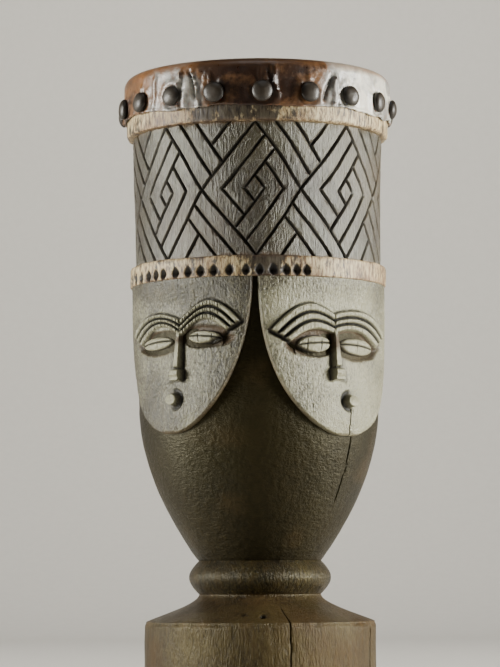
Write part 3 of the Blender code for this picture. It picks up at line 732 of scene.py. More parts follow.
def score_wall(bm, width):
    """Cuts each groove's rounded shoulders, sides and bottom, and each notch's facets."""
    cells = outer_cells(bm)
    for start, end in lattice_lines():
        along = (end - start).normalized()
        across = Vector((along.y, -along.x))
        for side in (-GROOVE_SHOULDER, -GROOVE_SIDE, 0.0, GROOVE_SIDE, GROOVE_SHOULDER):
            cut_line(bm, cells, start + across * width * side, end + across * width * side)
    half = NOTCH_HALF * UNROLL_R
    up, down = NOTCH_H - NOTCH_MIDDLE, NOTCH_MIDDLE + NOTCH_FOOT
    outline = [Vector((x * half * NOTCH_RIM, z * (up if z > 0 else down))) for x, z in NOTCH_OUTLINE]
    for middle in notch_middles():
        for start, end in zip(outline, outline[1:] + outline[:1]):
            cut_line(bm, cells, middle + start, middle + end)
            cut_line(bm, cells, middle + start * NOTCH_INNER, middle + end * NOTCH_INNER)
        cut_line(bm, cells, middle + outline[0], middle + outline[4])
        cut_line(bm, cells, middle + outline[6], middle + outline[2])


def distance_to(points, start, end):
    """Distance of 2-D points from a line between two ends, and how far along it they are."""
    along = np.array(end) - np.array(start)
    away = points - np.array(start)
    share = unit(away @ along / (along @ along))
    return np.hypot(*(away - share[:, None] * along).T), share * np.hypot(*along), np.hypot(*along)


def groove_depths(places, width):
    """How deep the lattice is cut at each place, from 0 to about 1."""
    depth = np.zeros(len(places))
    for index, (start, end) in enumerate(lattice_lines()):
        low, high = min(start.x, end.x) - width, max(start.x, end.x) + width
        near = np.flatnonzero((places[:, 0] > low) & (places[:, 0] < high))
        away, run, length = distance_to(places[near], start, end)
        side = away / width
        steep = 1 - GROOVE_LOSS * side / GROOVE_SIDE
        gentle = (1 - GROOVE_LOSS) * (GROOVE_SHOULDER - side) / (GROOVE_SHOULDER - GROOVE_SIDE)
        cut = np.where(side < GROOVE_SIDE, steep, gentle)
        ends = np.minimum(run, length - run) / (4 * MM)
        strength = 0.92 + 0.16 * np.sin(run / (9 * MM) + 2.3 * index)
        cut = unit(cut) * (0.55 + 0.45 * smooth(ends)) * strength
        depth[near] = np.maximum(depth[near], cut)
    return depth


def notch_depths(places):
    """How deep the lozenge chips are at each place, from 0 to 1 in their middles."""
    depth = np.zeros(len(places))
    for middle in notch_middles():
        across = np.abs(places[:, 0] - middle.x) / (NOTCH_HALF * UNROLL_R * NOTCH_RIM)
        up = places[:, 1] - middle.y
        tall = np.where(up > 0, NOTCH_H - NOTCH_MIDDLE, NOTCH_MIDDLE + NOTCH_FOOT)
        reach = across**NOTCH_BULGE + (np.abs(up) / tall) ** NOTCH_BULGE
        depth = np.maximum(depth, 1 - reach ** (1 / NOTCH_BULGE))
    return depth


def dress_wall(bm, settings):
    """Sinks the cuts in the unrolled wall, trims it to one turn and rolls it round the drum."""
    layer = bm.verts.layers.float.new("deep")
    edge_layer = bm.verts.layers.float.new("edge")
    places = np.array([(v.co.x, v.co.y, v.co.z) for v in bm.verts])
    flat = places[:, [0, 2]]
    radius, z = places.T[1:]
    outer = radius > LATTICE_LOW_R - MM
    scored = outer & (z > LATTICE_Z - 0.1 * MM) & (z < COLLAR_Z + 0.1 * MM)
    scored &= radius < LATTICE_TOP_R + MM
    grooves = groove_depths(flat, settings.groove_width) * scored
    banded = (radius > BAND_R - 3 * MM) & (z < BAND_Z + NOTCH_H + MM)
    notches = notch_depths(flat) * banded
    radius = radius - grooves * settings.groove_depth - unit(notches) * NOTCH_DEPTH
    # The deep mark paints the grooves near black, for dirt and for the shade that falls in them, and the
    # notches dark.
    for vert, r, cut, chip, s in zip(bm.verts, radius, grooves, notches, scored):
        vert.co.y = r
        vert[layer] = max(min(1.0, cut * 1.7), min(1.0, max(0.0, chip) * 9.0))
        vert[edge_layer] = 0.15 if s and 0.0 < cut < 0.3 else 0.0
    extra = [f for f in bm.faces if not SEAM < f.calc_center_median().x < SEAM + TURN]
    bmesh.ops.delete(bm, geom=extra, context="FACES")
    for vert in bm.verts:
        azimuth, r = vert.co.x / UNROLL_R, vert.co.y
        vert.co = (r * math.sin(azimuth), -r * math.cos(azimuth), vert.co.z)
    bmesh.ops.remove_doubles(bm, verts=bm.verts[:], dist=0.004 * MM)


def weather_wall(mesh):
    """Uneven hand work over the whole upper wall, and chips along the two bands' edges."""
    points = read_points(mesh)
    azimuth, radius, z = unpolar(points)
    outer = smooth((radius - 118 * MM) / (4 * MM))
    open_wall = (z > LATTICE_Z - MM) & (z < COLLAR_Z - 0.1 * MM)
    ends = smooth((z - LATTICE_Z) / (6 * MM)) * smooth((COLLAR_Z - z) / (6 * MM))
    sway = outer * np.where(open_wall, ends, 0)
    for crossing in CROSSINGS:
        near = bell(azimuth / DEG - crossing, 13) * bell(z - CROSSING_Z, 42 * MM)
        azimuth = azimuth - sway * near * CROSSING_SWAY / UNROLL_R
    across = 0.9 * lumps(points, 38 * MM, 3) + 0.25 * lumps(points, 9 * MM, 4)
    azimuth = azimuth + sway * across * MM / UNROLL_R
    z = z + sway * (0.8 * lumps(points, 34 * MM, 5) + 0.2 * lumps(points, 8 * MM, 6)) * MM
    uneven = 0.55 * lumps(points, 46 * MM, 7) + 0.32 * lumps(points * [1, 1, 0.35], 7 * MM, 8)
    uneven += 0.2 * lumps(points * [1, 1, 0.3], 2.6 * MM, 9)
    collar = (z > COLLAR_Z - 0.1 * MM) & (z < COLLAR_Z + 24 * MM)
    banded = outer * (collar | (z < LATTICE_Z + 0.1 * MM))
    low_edge = banded * (1 - smooth((z - COLLAR_Z) / (4 * MM))) * (z > COLLAR_Z - MM)
    low_edge += banded * (1 - smooth((z - BAND_Z) / (3 * MM)))
    low_edge += banded * smooth((z - LATTICE_Z + 3 * MM) / (3 * MM)) * (z < LATTICE_Z + MM)
    chips = unit(lumps(points, 9 * MM, 11) - 0.1) * 1.9 * low_edge
    uneven += banded * 0.3 * lumps(points * [1, 1, 0.4], 4 * MM, 12)
    radius = radius + outer * uneven * MM - chips * MM
    top_edge = banded * (np.abs(z - LATTICE_Z) < 3 * MM)
    z = z + top_edge * 0.6 * lumps(points, 30 * MM, 13) * MM
    write_points(mesh, polar(radius, azimuth, z))
    dust_and_shade = outer * (0.15 + 0.35 * unit(lumps(points, 50 * MM, 15)))
    # Painted shade: smoked holds the shade that falls on the front middle between the side lamps. It
    # darkens the band and the collar there, through the same mark as the dirt, which wears their clay
    # off.
    low = bell(azimuth / DEG - 4, 6)
    high = 0.75 * bell(azimuth / DEG + 8, 26)
    smoked = np.where(z < LATTICE_Z, low, high)
    mark(mesh, "dust_and_shade", dust_and_shade + smoked * banded)
    edge = read_mark(mesh, "edge")
    mark(mesh, "edge", unit(edge + unit(low_edge) * 0.6))
    mark(mesh, "rub", outer * unit(0.34 + 0.3 * lumps(points, 44 * MM, 16)))


def paint_bands(mesh):
    """The clay-rubbed finish goes on the faces of the band and the collar."""
    middles = np.empty(len(mesh.polygons) * 3)
    mesh.polygons.foreach_get("center", middles)
    _azimuth, radius, z = unpolar(middles.reshape(-1, 3))
    on_band = (z < LATTICE_Z + 0.2 * MM) | (z > COLLAR_Z - 0.2 * MM)
    chosen = on_band & (radius > LATTICE_TOP_R - 1.5 * MM)
    mesh.polygons.foreach_set("material_index", chosen.astype(np.int32))


def bowl_section():
    """The bowl and the wall behind the masks, as a closed section."""
    heights = [NECK_Z + BOWL_H * (1 - math.cos(t * math.pi / 2)) for t in np.linspace(0.03, 1, 74)]
    outside = [(WAIST_R - 3 * MM, NECK_Z - 2 * MM), (WAIST_R - 0.3 * MM, NECK_Z)]
    outside += [(float(bowl_radius(z)), z) for z in heights]
    outside += spaced([(BOWL_R, BOWL_Z), (BOWL_R, BAND_Z)], 2.4 * MM)[1:]
    shell_z = NECK_Z + BOWL_H * 0.5
    inside = [(BAND_BORE_R, BAND_Z), (BOWL_BORE_R, BOWL_Z)]
    inside += [(float(bowl_radius(shell_z)) - BOWL_WALL, shell_z), (NECK_BORE_R, NECK_Z - 2 * MM)]
    return outside + inside


def foot_section():
    """The foot, its sloping shoulder and the waist ring, as a closed section."""
    outside = [(FOOT_R - 3 * MM, 0.0), (FOOT_R - 0.9 * MM, 1.0 * MM), (FOOT_R, 3.5 * MM)]
    outside += spaced([(FOOT_R, 5.5 * MM), (FOOT_R, FOOT_H - 4.5 * MM)], 2.0 * MM)
    outside += [(FOOT_R - 0.3 * MM, FOOT_H - 2.4 * MM), (FOOT_R - 1.3 * MM, FOOT_H - 0.7 * MM)]
    for t in np.linspace(0.03, 1.0, 34):
        fall = (1 - (1 - t) ** 1.7) ** 1.25
        outside.append((FOOT_R + (WAIST_R - FOOT_R) * fall, FOOT_H + (WAIST_Z - FOOT_H) * t))
    for turn in np.linspace(0.02, 0.99, 30):
        t = (1 - math.cos(math.pi * turn)) / 2
        bulge = (RING_R - WAIST_R) * math.sin(math.pi * t)
        outside.append((WAIST_R + bulge, WAIST_Z + (NECK_Z - WAIST_Z) * t))
    neck = [(WAIST_R - 1.5 * MM, NECK_Z), (NECK_BORE_R, NECK_Z)]
    neck += [(NECK_BORE_R, WAIST_Z - FOOT_WALL * 0.2), (FOOT_BORE_R * 0.8, FOOT_BORE_H + FOOT_WALL)]
    return outside + neck + [(FOOT_BORE_R, FOOT_BORE_H), (FOOT_BORE_R, 0.0)]


# Drying cracks: azimuth, lower and upper end, half width, depth
BOWL_CRACKS = (
    (50.0, 202.0, 304.0, 0.5, 2.2),
    (118.0, 170.0, 330.0, 0.9, 3.0),
    (-160.0, 200.0, 280.0, 0.7, 2.2),
)
FOOT_CRACKS = (
    (14.5, 18.0, 104.0, 0.5, 2.6),
    (69.5, 6.0, 90.0, 0.8, 3.6),
    (150.0, 0.0, 96.0, 1.1, 4.5),
    (-110.0, 20.0, 86.0, 0.8, 3.0),
)


def gather_columns(azimuth, cracks):
    """Draws the mesh's columns in towards each crack, so that a narrow crack has its own."""
    for middle, *_rest in cracks:
        away = turned_from(azimuth, middle * DEG)
        reach = 6 * DEG
        pulled = away * (np.abs(away) / reach) ** 0.8
        azimuth = np.where(np.abs(away) < reach, azimuth - away + pulled, azimuth)
    return azimuth


def cracked(azimuth, radius, z, cracks):
    """Depth and share of the drying cracks at each place."""
    depth = np.zeros(len(z))
    for middle, low, high, half, deep in cracks:
        height = z / MM
        wander = 1.3 * np.sin(height / 9 + middle) + 0.7 * np.sin(height / 3.7 + 2 * middle)
        away = turned_from(azimuth, middle * DEG)
        away = np.abs(away * radius / MM - wander * 0.35)
        ends = smooth((height - low) / 12) * smooth((high - height) / 12)
        depth = np.maximum(depth, deep * ends * unit(1 - away / (half + 0.3)))
    return depth * MM


def weather_bowl(mesh):
    """Adze marks, drying cracks and hand work on the bowl."""
    points = read_points(mesh)
    azimuth, radius, z = unpolar(points)
    outer = radius > np.minimum(bowl_radius(z) - 4 * MM, BOWL_R - 4 * MM)
    azimuth = gather_columns(azimuth, BOWL_CRACKS)
    points = polar(radius, azimuth, z)
    adze = 0.5 * lumps(points * [1, 1, 1.9], 13 * MM, 21)
    adze += 0.3 * lumps(points * [1, 1, 2.4], 5.5 * MM, 22)
    uneven = 0.6 * lumps(points, 52 * MM, 23) + 0.45 * np.abs(adze) + 0.25 * adze
    rise = smooth((z - NECK_Z) / (8 * MM))
    cracks = cracked(azimuth, radius, z, BOWL_CRACKS) * outer
    radius = radius + outer * rise * (uneven - 0.25) * MM - cracks
    write_points(mesh, polar(radius, azimuth, z))
    rubs = unit(lumps(points, 60 * MM, 24))
    mark(mesh, "deep", unit(cracks / (1.6 * MM)))
    mark(mesh, "dust_and_shade", outer * (0.1 + 0.3 * rubs))
    mark(mesh, "edge", outer * 0.3 * unit(lumps(points, 34 * MM, 25) - 0.2))
    mark(mesh, "rub", outer * unit(0.2 + 0.4 * lumps(points, 70 * MM, 26)))


def weather_foot(mesh):
    """Adze marks, drying cracks, chips and two dents on the foot, and a calmer ring."""
    points = read_points(mesh)
    azimuth, radius, z = unpolar(points)
    bored = (radius < FOOT_BORE_R + MM) & (z < FOOT_BORE_H + FOOT_WALL + MM)
    outer = (radius > WAIST_R - 1 * MM) & ~bored
    azimuth = gather_columns(azimuth, FOOT_CRACKS)
    points = polar(radius, azimuth, z)
    adze = lumps(points * [1, 1, 0.8], 16 * MM, 31)
    uneven = 0.7 * lumps(points, 58 * MM, 32) + 0.35 * adze
    uneven += 0.2 * lumps(points * [1, 1, 0.4], 5 * MM, 33)
    ring = (z > WAIST_Z + MM) & (z < NECK_Z)
    calm = np.where(ring, 0.45, 1.0) * smooth(z / (3 * MM))
    cracks = cracked(azimuth, radius, z, FOOT_CRACKS) * outer
    rim = bell(z - FOOT_H, 4 * MM) * (radius > FOOT_R - 6 * MM)
    chips = unit(lumps(points, 14 * MM, 34) - 0.15) * 2.4 * rim
    away = np.hypot((azimuth - 1.5 * DEG) * radius, (z - FOOT_H - 7.5 * MM) * 2.0)
    hole = 6 * unit(1 - away / (4.6 * MM))
    away = np.hypot((azimuth + 10 * DEG) * radius, (z - FOOT_H - 9 * MM) * 2.2)
    nick = 3 * unit(1 - away / (3.4 * MM))
    dents = (hole + nick) * outer
    radius = radius + outer * (calm * uneven - chips) * MM - cracks - dents * 0.5 * MM
    z = np.where(outer, z - dents * MM * 0.8, z)
    write_points(mesh, polar(radius, azimuth, np.maximum(z, 0.0)))
    mark(mesh, "deep", unit(cracks / (1.6 * MM) + dents * 0.35))
    mark(mesh, "dust_and_shade", outer * (0.2 + 0.4 * unit(lumps(points, 48 * MM, 35))) * np.where(ring, 0.2, 1))
    mark(mesh, "edge", outer * unit(rim * 0.45 * smooth(0.5 + lumps(points, 12 * MM, 37))))
    mark(mesh, "rub", outer * unit(np.where(ring, 0.08, 0.2) + 0.3 * lumps(points, 60 * MM, 36)))


def mask_width(mask, z):
    """Half the mask's width at a height, in degrees."""
    share = unit((BAND_Z - z) / MM / mask.height)
    return mask.half_width * np.sqrt(1 - share**mask.taper)


def mask_ground(mask, z, offset):
    """The mask's plain surface, hollowed in the middle, as the solid has it."""
    share = (BAND_Z - z) / MM / mask.height
    hollow = MASK_HOLLOW * smooth(share / 0.2) * (1 - 0.8 * smooth((share - 0.55) / 0.35))
    from_middle = np.minimum(1.0, np.abs(offset) / mask.half_width)
    return bowl_radius(z) + (MASK_RELIEF - hollow * (1 - from_middle**2) ** 2) * MM


def across_face(face, offset):
    """Degrees from the nose line, with the outer side's stretch taken out."""
    across = np.linspace(-70, 70, 561)
    eased = face.stretch - OUTER_EASE * (np.minimum(across, EASE_SPAN) / EASE_SPAN) ** 2
    return np.interp(offset, face.nose + across * np.where(across > 0, eased, 1.0), across)


def brow_lines(face, t):
    """Depths below the mask's top of the brow's upper edge and of the eyelid's, in millimetres."""
    away = unit(np.abs(t))
    found = []
    for side in (face.inner, face.outer):
        arch = np.sin(math.pi * away**side.skew)
        brow = face.bridge + (side.brow_tip - face.bridge) * away - side.rise * arch
        lid = face.lid_bridge + (side.lid_tip - face.lid_bridge) * away - side.lid_rise * arch
        found.append((brow, lid))
    (inner_brow, inner_lid), (outer_brow, outer_lid) = found
    return np.where(t < 0, inner_brow, outer_brow), np.where(t < 0, inner_lid, outer_lid)


def brow_place(face, across, drop):
    """Along the brows from tip to tip (-1 to 1) and across them from brow (0) to eyelid (1)."""
    brow_span = np.where(across < 0, face.inner.brow_span, face.outer.brow_span)
    lid_span = np.where(across < 0, face.inner.lid_span, face.outer.lid_span)
    low, high = np.full(len(drop), -0.4), np.full(len(drop), 1.4)
    for _ in range(18):
        share = (low + high) / 2
        t = np.clip(across / (brow_span + (lid_span - brow_span) * share), -1.3, 1.3)
        top, lid = brow_lines(face, t)
        above = top + (lid - top) * share < drop
        low, high = np.where(above, share, low), np.where(above, high, share)
    share = (low + high) / 2
    return across / (brow_span + (lid_span - brow_span) * share), share


def near_path(flat, path):
    """Distance of points from a broken line, in the units of both."""
    away = np.full(len(flat), 1e9)
    for start, end in zip(path, path[1:]):
        away = np.minimum(away, distance_to(flat, start, end)[0])
    return away


def carve_mask(mask, across, drop):
    """Relief of a mask's features over its plain surface in millimetres, and its marks."""
    face, ridges = mask.face, mask.ridges
    draw = np.where(across > 0, OUTER_DRAW, 1.0)
    flat = np.stack([across * MM_A_DEGREE * draw, drop], -1)
    t, share = brow_place(face, across, drop)
    top, lid = brow_lines(face, t)
    tall = np.maximum(lid - top, 4.0)
    inside = smooth(share * tall / 0.9) * smooth((1 - share) * tall / 1.1)
    inside *= smooth((1 - np.abs(t)) * 30 / 1.4)
    cut = np.zeros(len(drop))
    for ridge in range(1, ridges):
        away = np.abs(share - ridge / ridges) * tall
        cut = np.maximum(cut, unit(1.15 - away / (1.75 * np.minimum(1, tall / 20))))
    cut *= (np.abs(t) < 1) & (share > 0) & (share < 1)
    strip = np.mod(share * ridges, 1.0)
    relief = 3.4 * inside * (0.8 + 0.2 * (1 - strip)) - 3.6 * cut * inside
    outline = unit(1 - np.abs(share * tall + 0.8) / 1.3) * (np.abs(t) < 1.02)
    relief = relief - 1.2 * outline
    nicks = unit(np.sin(across * 5.1 + 1.3 * np.sin(across * 1.7)) - 0.55) * 2.3
    nicks *= inside * (strip > 0.2) * (strip < 0.9) * mask.nicked * (t > -0.75)
    relief = relief - 1.3 * nicks
    notch = unit(1 - np.abs(flat[:, 0] + 0.03 * (drop - 46)) / 0.9)
    relief = relief - 1.6 * notch * inside * (share < 0.95)

    # The deep mark paints the cuts and the edges round the eyes near black, for dirt in them and for the
    # shade that falls in them.
    deep = np.maximum(np.minimum(1, 1.5 * cut) * inside, outline * 0.8)
    deep = np.maximum(deep, np.minimum(1, nicks) * 0.8)
    dust_and_shade = np.zeros(len(drop))
    rub = 0.55 * inside * (1 - cut)
    for sign, side in ((-1, face.inner), (1, face.outer)):
        width = 20.0 * (OUTER_DRAW if sign > 0 else 1.0)
        x = (across - sign * side.eye) * MM_A_DEGREE * (OUTER_DRAW if sign > 0 else 1.0) / width
        y = (drop - side.eye_drop - 1.0 * x * sign) / face.eye_half_h
        reach = np.abs(x) ** 2.2 + np.abs(y) ** 1.9
        socket = smooth((2.7 - (x / 1.1) ** 2 - ((y + 0.2) / 1.1) ** 2) / 1.7)
        socket *= smooth((share - 0.97) * tall / 1.2) + (np.abs(t) >= 1) * (y > -0.3)
        relief = relief - 2.6 * socket
        dust_and_shade = np.maximum(dust_and_shade, unit(socket * (1.1 - 0.35 * y)))
        ball = smooth((1 - reach) / 0.22)
        relief = relief + ball * (4.4 + 1.4 * (1 - unit(reach)))
        dust_and_shade = dust_and_shade * (1 - ball)
        rub = rub * (1 - 0.8 * socket) + 0.45 * ball - 0.75 * socket * (1 - ball)
        rim = unit(1 - np.abs(1.02 - reach) / 0.24)
        deep = np.maximum(deep, rim * 0.9)
        slit_y = drop - (side.eye_drop - 1.4 + 1.6 * x * sign + 1.2 * x * x)
        slit = unit(1.2 - np.abs(slit_y) / 0.95) * (np.abs(x) < 0.9)
        lash = np.zeros(len(drop))
        for place in (-0.45, -0.1, 0.35, 0.62):
            upright = unit(1 - np.abs((x - place) * width + 0.1 * slit_y) / 0.7)
            upright *= (np.abs(y) < 0.62) * (0.5 + 0.5 * np.sin(7 * place + sign))
            lash = np.maximum(lash, upright)
        relief = relief - 1.8 * slit * ball - 1.0 * lash * ball
        deep = np.maximum(deep, np.maximum(slit, lash * 0.8) * ball)

    inner = near_path(flat, [(a * MM_A_DEGREE, d) for a, d in face.grooves[0]])
    outer = near_path(flat, [(a * MM_A_DEGREE * OUTER_DRAW, d) for a, d in face.grooves[1]])
    inner_cut = unit(1.25 - inner / 2.3)
    outer_cut = smooth(1 - outer / 3.8)
    relief = relief - 3.0 * inner_cut - 1.7 * outer_cut
    deep = np.maximum(deep, np.maximum(inner_cut, outer_cut * 0.45))
    # The brown wash beside the grooves under the eyes is partly dirt and partly painted shade.
    dust_and_shade = np.maximum(dust_and_shade, np.maximum(smooth(1 - inner / 4.5) * 0.5, smooth(1 - outer / 6.5) * 0.7))

    down = unit((drop - 54) / 50)
    x = flat[:, 0] - 2.5 * down
    tip = smooth((drop - 91.5) / 1.4)
    half = 2.0 + 1.7 * down + 1.7 * tip
    ridge = smooth(half + 0.6 - np.abs(x)) * smooth((drop - 50.5) / 6) * smooth((104.5 - drop) / 1.2)
    tall_nose = 4.4 + 3.2 * down + 2.0 * tip * smooth((101 - drop) / 4)
    throat = bell(drop - 91.0, 1.3)
    nose = np.maximum(relief, 0) * (1 - ridge) + (tall_nose - 3.2 * throat) * ridge
    relief = np.where(ridge > 0, nose, relief)
    deep = deep * (1 - ridge)
    deep = np.maximum(deep, throat * ridge * 0.85)
    # The nose's ridge is marked well rubbed, partly as wear and partly as a painted highlight.
    rub = rub * (1 - ridge) + ridge * (0.85 + 0.1 * tip)
    # Painted shadow: the cheek beside the nose is dipped a little and marked deep, so it is painted near
    # black, most on the side towards the front middle.
    away = (np.abs(x) - half - 0.4) * np.where(x < 0, 0.55, 0.28)
    beside = unit(1 - np.abs(away - 1.0) / 1.9) * smooth((drop - 56) / 6) * smooth((107 - drop) / 3)
    relief = relief - 1.1 * beside * (1 - ridge)
    deep = np.maximum(deep, beside * (1 - ridge) * np.where(x < 0, 0.95, 0.5))

    x = flat[:, 0] - face.mouth * MM_A_DEGREE * OUTER_DRAW
    away = np.hypot(x, drop - face.mouth_drop)
    lips = smooth((6.6 - away) / 1.1)
    relief = relief + lips * (6.4 + 0.8 * smooth(1 - away / 6) + 0.08 * x)
    rub = rub * (1 - lips) + 0.55 * lips
    # Painted shadow: a dark crescent beside the mouth's knob, on the side towards the front middle, over
    # a shallow dip.
    hollow = unit(1.3 - np.abs(away - 8.8) / 2.8) * smooth(0.7 - x / 7)
    relief = relief - 2.0 * hollow
    deep = np.maximum(deep, hollow)
    return relief, deep, dust_and_shade, rub


def mask_blank(cuts):
    """A closed blank from -1 to 1 each way: a coarse root, and a front divided finely."""
    bm = bmesh.new()
    bmesh.ops.create_grid(bm, x_segments=MASK_CELLS[0], y_segments=MASK_CELLS[1], size=1.0)
    made = bmesh.ops.extrude_face_region(bm, geom=bm.faces[:])["geom"]
    front = [g for g in made if isinstance(g, bmesh.types.BMVert)]
    bmesh.ops.translate(bm, verts=front, vec=(0, 0, 1.0))
    upright = [e for e in bm.edges if abs(e.verts[0].co.z - e.verts[1].co.z) > 0.5]
    bmesh.ops.subdivide_edges(bm, edges=upright, cuts=1)
    level = [e for e in bm.edges if abs(e.verts[0].co.z - e.verts[1].co.z) < 0.1]
    raised = [e for e in level if e.verts[0].co.z > 0.4]
    bmesh.ops.subdivide_edges(bm, edges=raised, cuts=cuts - 1, use_grid_fill=True)
    return bm


def make_mask(mask, settings):
    """Bends a blank round the bowl and carves a face in it, with a rounded and chipped edge."""
    mesh = as_mesh(f"mask_{mask.name}", mask_blank(mask.cuts))
    across_share, up_share, level = read_points(mesh).T
    share = (1 - up_share) / 2
    z = BAND_Z - mask.height * MM * np.sin(share * MASK_ROWS * math.pi)
    width = mask_width(mask, z)
    offset = across_share * width
    drop = (BAND_Z - z) / MM
    relief, deep, dust_and_shade, rub = carve_mask(mask, across_face(mask.face, offset), drop)

    azimuth = (mask.centre + mask.lean * offset) * DEG
    spots = polar(BOWL_R + 0 * z, azimuth, z)
    lower = np.clip(share, 0, 0.985)
    slope = mask.half_width * DEG * mask.taper * lower**1.3 / 2 / np.sqrt(1 - lower**mask.taper)
    steep = np.hypot(1, slope * BOWL_R / MM / mask.height)
    to_edge = (1 - np.abs(across_share)) * width * DEG * BOWL_R / steep / MM
    to_edge = np.minimum(to_edge, mask.height * math.sin(MASK_ROWS * math.pi) - drop)
    rounded = 2.4 * (1 - unit(to_edge / 3.0)) ** 2
    chips = unit(lumps(spots, 8 * MM, 41) - 0.1) * 1.6 * bell(to_edge, 2.5)
    calm = smooth(to_edge / 6)
    uneven = 0.5 * lumps(spots, 40 * MM, 42) + 0.14 * lumps(spots, 3.4 * MM, 43)
    uneven += 0.11 * lumps(spots, 1.7 * MM, 44)
    pits = unit(lumps(spots, 2.6 * MM, 45) - 0.55) * 1.3
    plain = 1 - smooth(np.abs(relief) / 0.8)
    ground = mask_ground(mask, z, offset)
    front = ground + (relief * calm + uneven - pits * plain - rounded - chips) * MM
    if mask.name == "right":
        wander = 0.5 * np.sin(drop / 5) + 0.3 * np.sin(drop / 1.9)
        beside = np.abs((azimuth - 45.6 * DEG) * BOWL_R / MM - wander)
        split = unit(1 - beside / 0.75) * smooth((drop - 131) / 3)
        front = front - 1.6 * split * MM
        deep = np.maximum(deep, split)
    wall = np.minimum(ground - 2.4 * MM, bowl_radius(z) - 1.0 * MM)
    root = bowl_radius(z) - 4.0 * MM
    radius = np.where(level > 0.75, front, np.where(level > 0.25, wall, root))
    write_points(mesh, polar(radius, azimuth, np.where(share < 0.001, BAND_Z + 0.3 * MM, z)))
    skin = level > 0.75
    mark(mesh, "deep", np.where(skin, deep, 0.0))
    mark(mesh, "dust_and_shade", unit(np.where(skin, dust_and_shade, 0.5) + 0.2 * unit(lumps(spots, 44 * MM, 46))))
    worn = bell(to_edge, 2.6) * (0.5 + 0.5 * lumps(spots, 22 * MM, 47)) * (share > 0.02)
    mark(mesh, "edge", unit(worn))
    # Painted shade: the top 30 mm under the band is marked less rubbed, so it is darker. The same mark
    # holds the wear, the painted highlight on the nose's ridge and the paler right mask.
    shaded = 0.3 * smooth((30 - drop) / 30)
    rubs = mask.rubbed - shaded + rub + 0.12 * lumps(spots, 26 * MM, 48)
    mark(mesh, "rub", np.where(skin, np.clip(rubs, 0, 1.2), 0.1))
    finish = wood_for("smoked_hardwood_mask", settings)
    place_piece(mesh.name, mesh, [finish], "drum_body", 60)


# Folds of the skirt: azimuth at its foot and top in degrees, heights over the pegs' row in
# millimetres, half width and height in millimetres. A negative height is a crease.
FOLDS = (
    (-49.5, -47.5, -12, 24, 2.4, 2.0),
    (-35.0, -34.0, -14, 25, 1.9, 2.8),
    (-38.0, -33.0, 10, 26, 1.3, 1.2),
    (-31.5, -31.0, -15, 14, 3.4, 1.6),
    (-26.6, -29.4, -2, 25, 1.7, -3.4),
    (-24.6, -28.0, -12, 24, 1.8, 2.6),
    (-22.6, -22.2, 9, 21, 1.0, 1.2),
    (-20.3, -20.0, 9, 19, 0.9, 1.1),
    (-23.9, -23.7, 9, 20, 0.9, -1.1),
    (1.6, 0.6, 6, 31, 1.5, 1.7),
    (5.8, 4.6, 6, 28, 1.4, -1.8),
    (8.4, 6.8, -2, 29, 1.6, 2.2),
    (29.0, 32.4, -4, 17, 2.3, -3.6),
    (33.5, 34.6, -15, 20, 2.5, 2.8),
    (37.2, 36.8, -15, -2, 1.4, 1.6),
    (40.5, 39.8, -16, -5, 1.0, 1.2),
    (38.5, 38.0, 8, 16, 1.0, -1.4),
    (-57.8, -58.5, -12, 16, 2.4, 1.6),
    (-66.5, -64.0, -12, 12, 2.0, 1.4),
    (57.5, 56.0, -14, 6, 2.0, 1.2),
    (66.0, 64.0, -12, 14, 2.0, 1.2),
)
HOODED_PEG = -38.0

# How pale the hide is at azimuths in degrees, darkest at the front; on the right the paleness
# is partly a painted highlight
HIDE_PALENESS_AND_HIGHLIGHT = (
    (-180, 0.3), (-120, 0.25), (-90, 0.3), (-66, 0.3), (-56, 0.34), (-50, 0.5), (-42, 0.52),
    (-34, 0.66), (-26, 0.5), (-19, 0.12), (14, 0.06), (24, 0.26), (32, 0.6), (42, 0.8),
    (56, 0.88), (78, 0.76), (100, 0.4), (140, 0.3), (180, 0.3),
)


def peg_azimuth(index):
    """A peg's azimuth. The first is just right of the front."""
    return PEG_FIRST + index * 2 * math.pi / PEG_COUNT


def head_section():
    """The skin's section from the middle of its top, over the rim, round its hem and back."""
    turn = RIM_ROUND + HIDE_T
    hem = HIDE_TOP_Z - HIDE_SKIRT
    inner = HIDE_R - HIDE_T
    under = HIDE_TOP_Z - HIDE_T
    top = spaced([(0.0, HIDE_TOP_Z), (HIDE_R - turn - 8 * MM, HIDE_TOP_Z)], 5.5 * MM)
    top += spaced([(HIDE_R - turn - 6 * MM, HIDE_TOP_Z), (HIDE_R - turn, HIDE_TOP_Z)], 2.0 * MM)
    for i in range(1, 9):
        a = i / 8 * math.pi / 2
        top.append((HIDE_R - turn + turn * math.sin(a), HIDE_TOP_Z - turn + turn * math.cos(a)))
    skirt = spaced([(HIDE_R, HIDE_TOP_Z - turn - 1.2 * MM), (HIDE_R, hem + 1.2 * MM)], 1.25 * MM)
    edge = [(HIDE_R - 0.25 * HIDE_T, hem + 0.3 * MM), (HIDE_R - 0.75 * HIDE_T, hem)]
    back = spaced([(inner, hem + 1.5 * MM), (inner, under - RIM_ROUND)], 6 * MM)
    back += [(inner - RIM_ROUND * 0.3, under - RIM_ROUND * 0.3), (inner - RIM_ROUND, under)]
    return top + skirt + edge + back + [(0.0, under)]


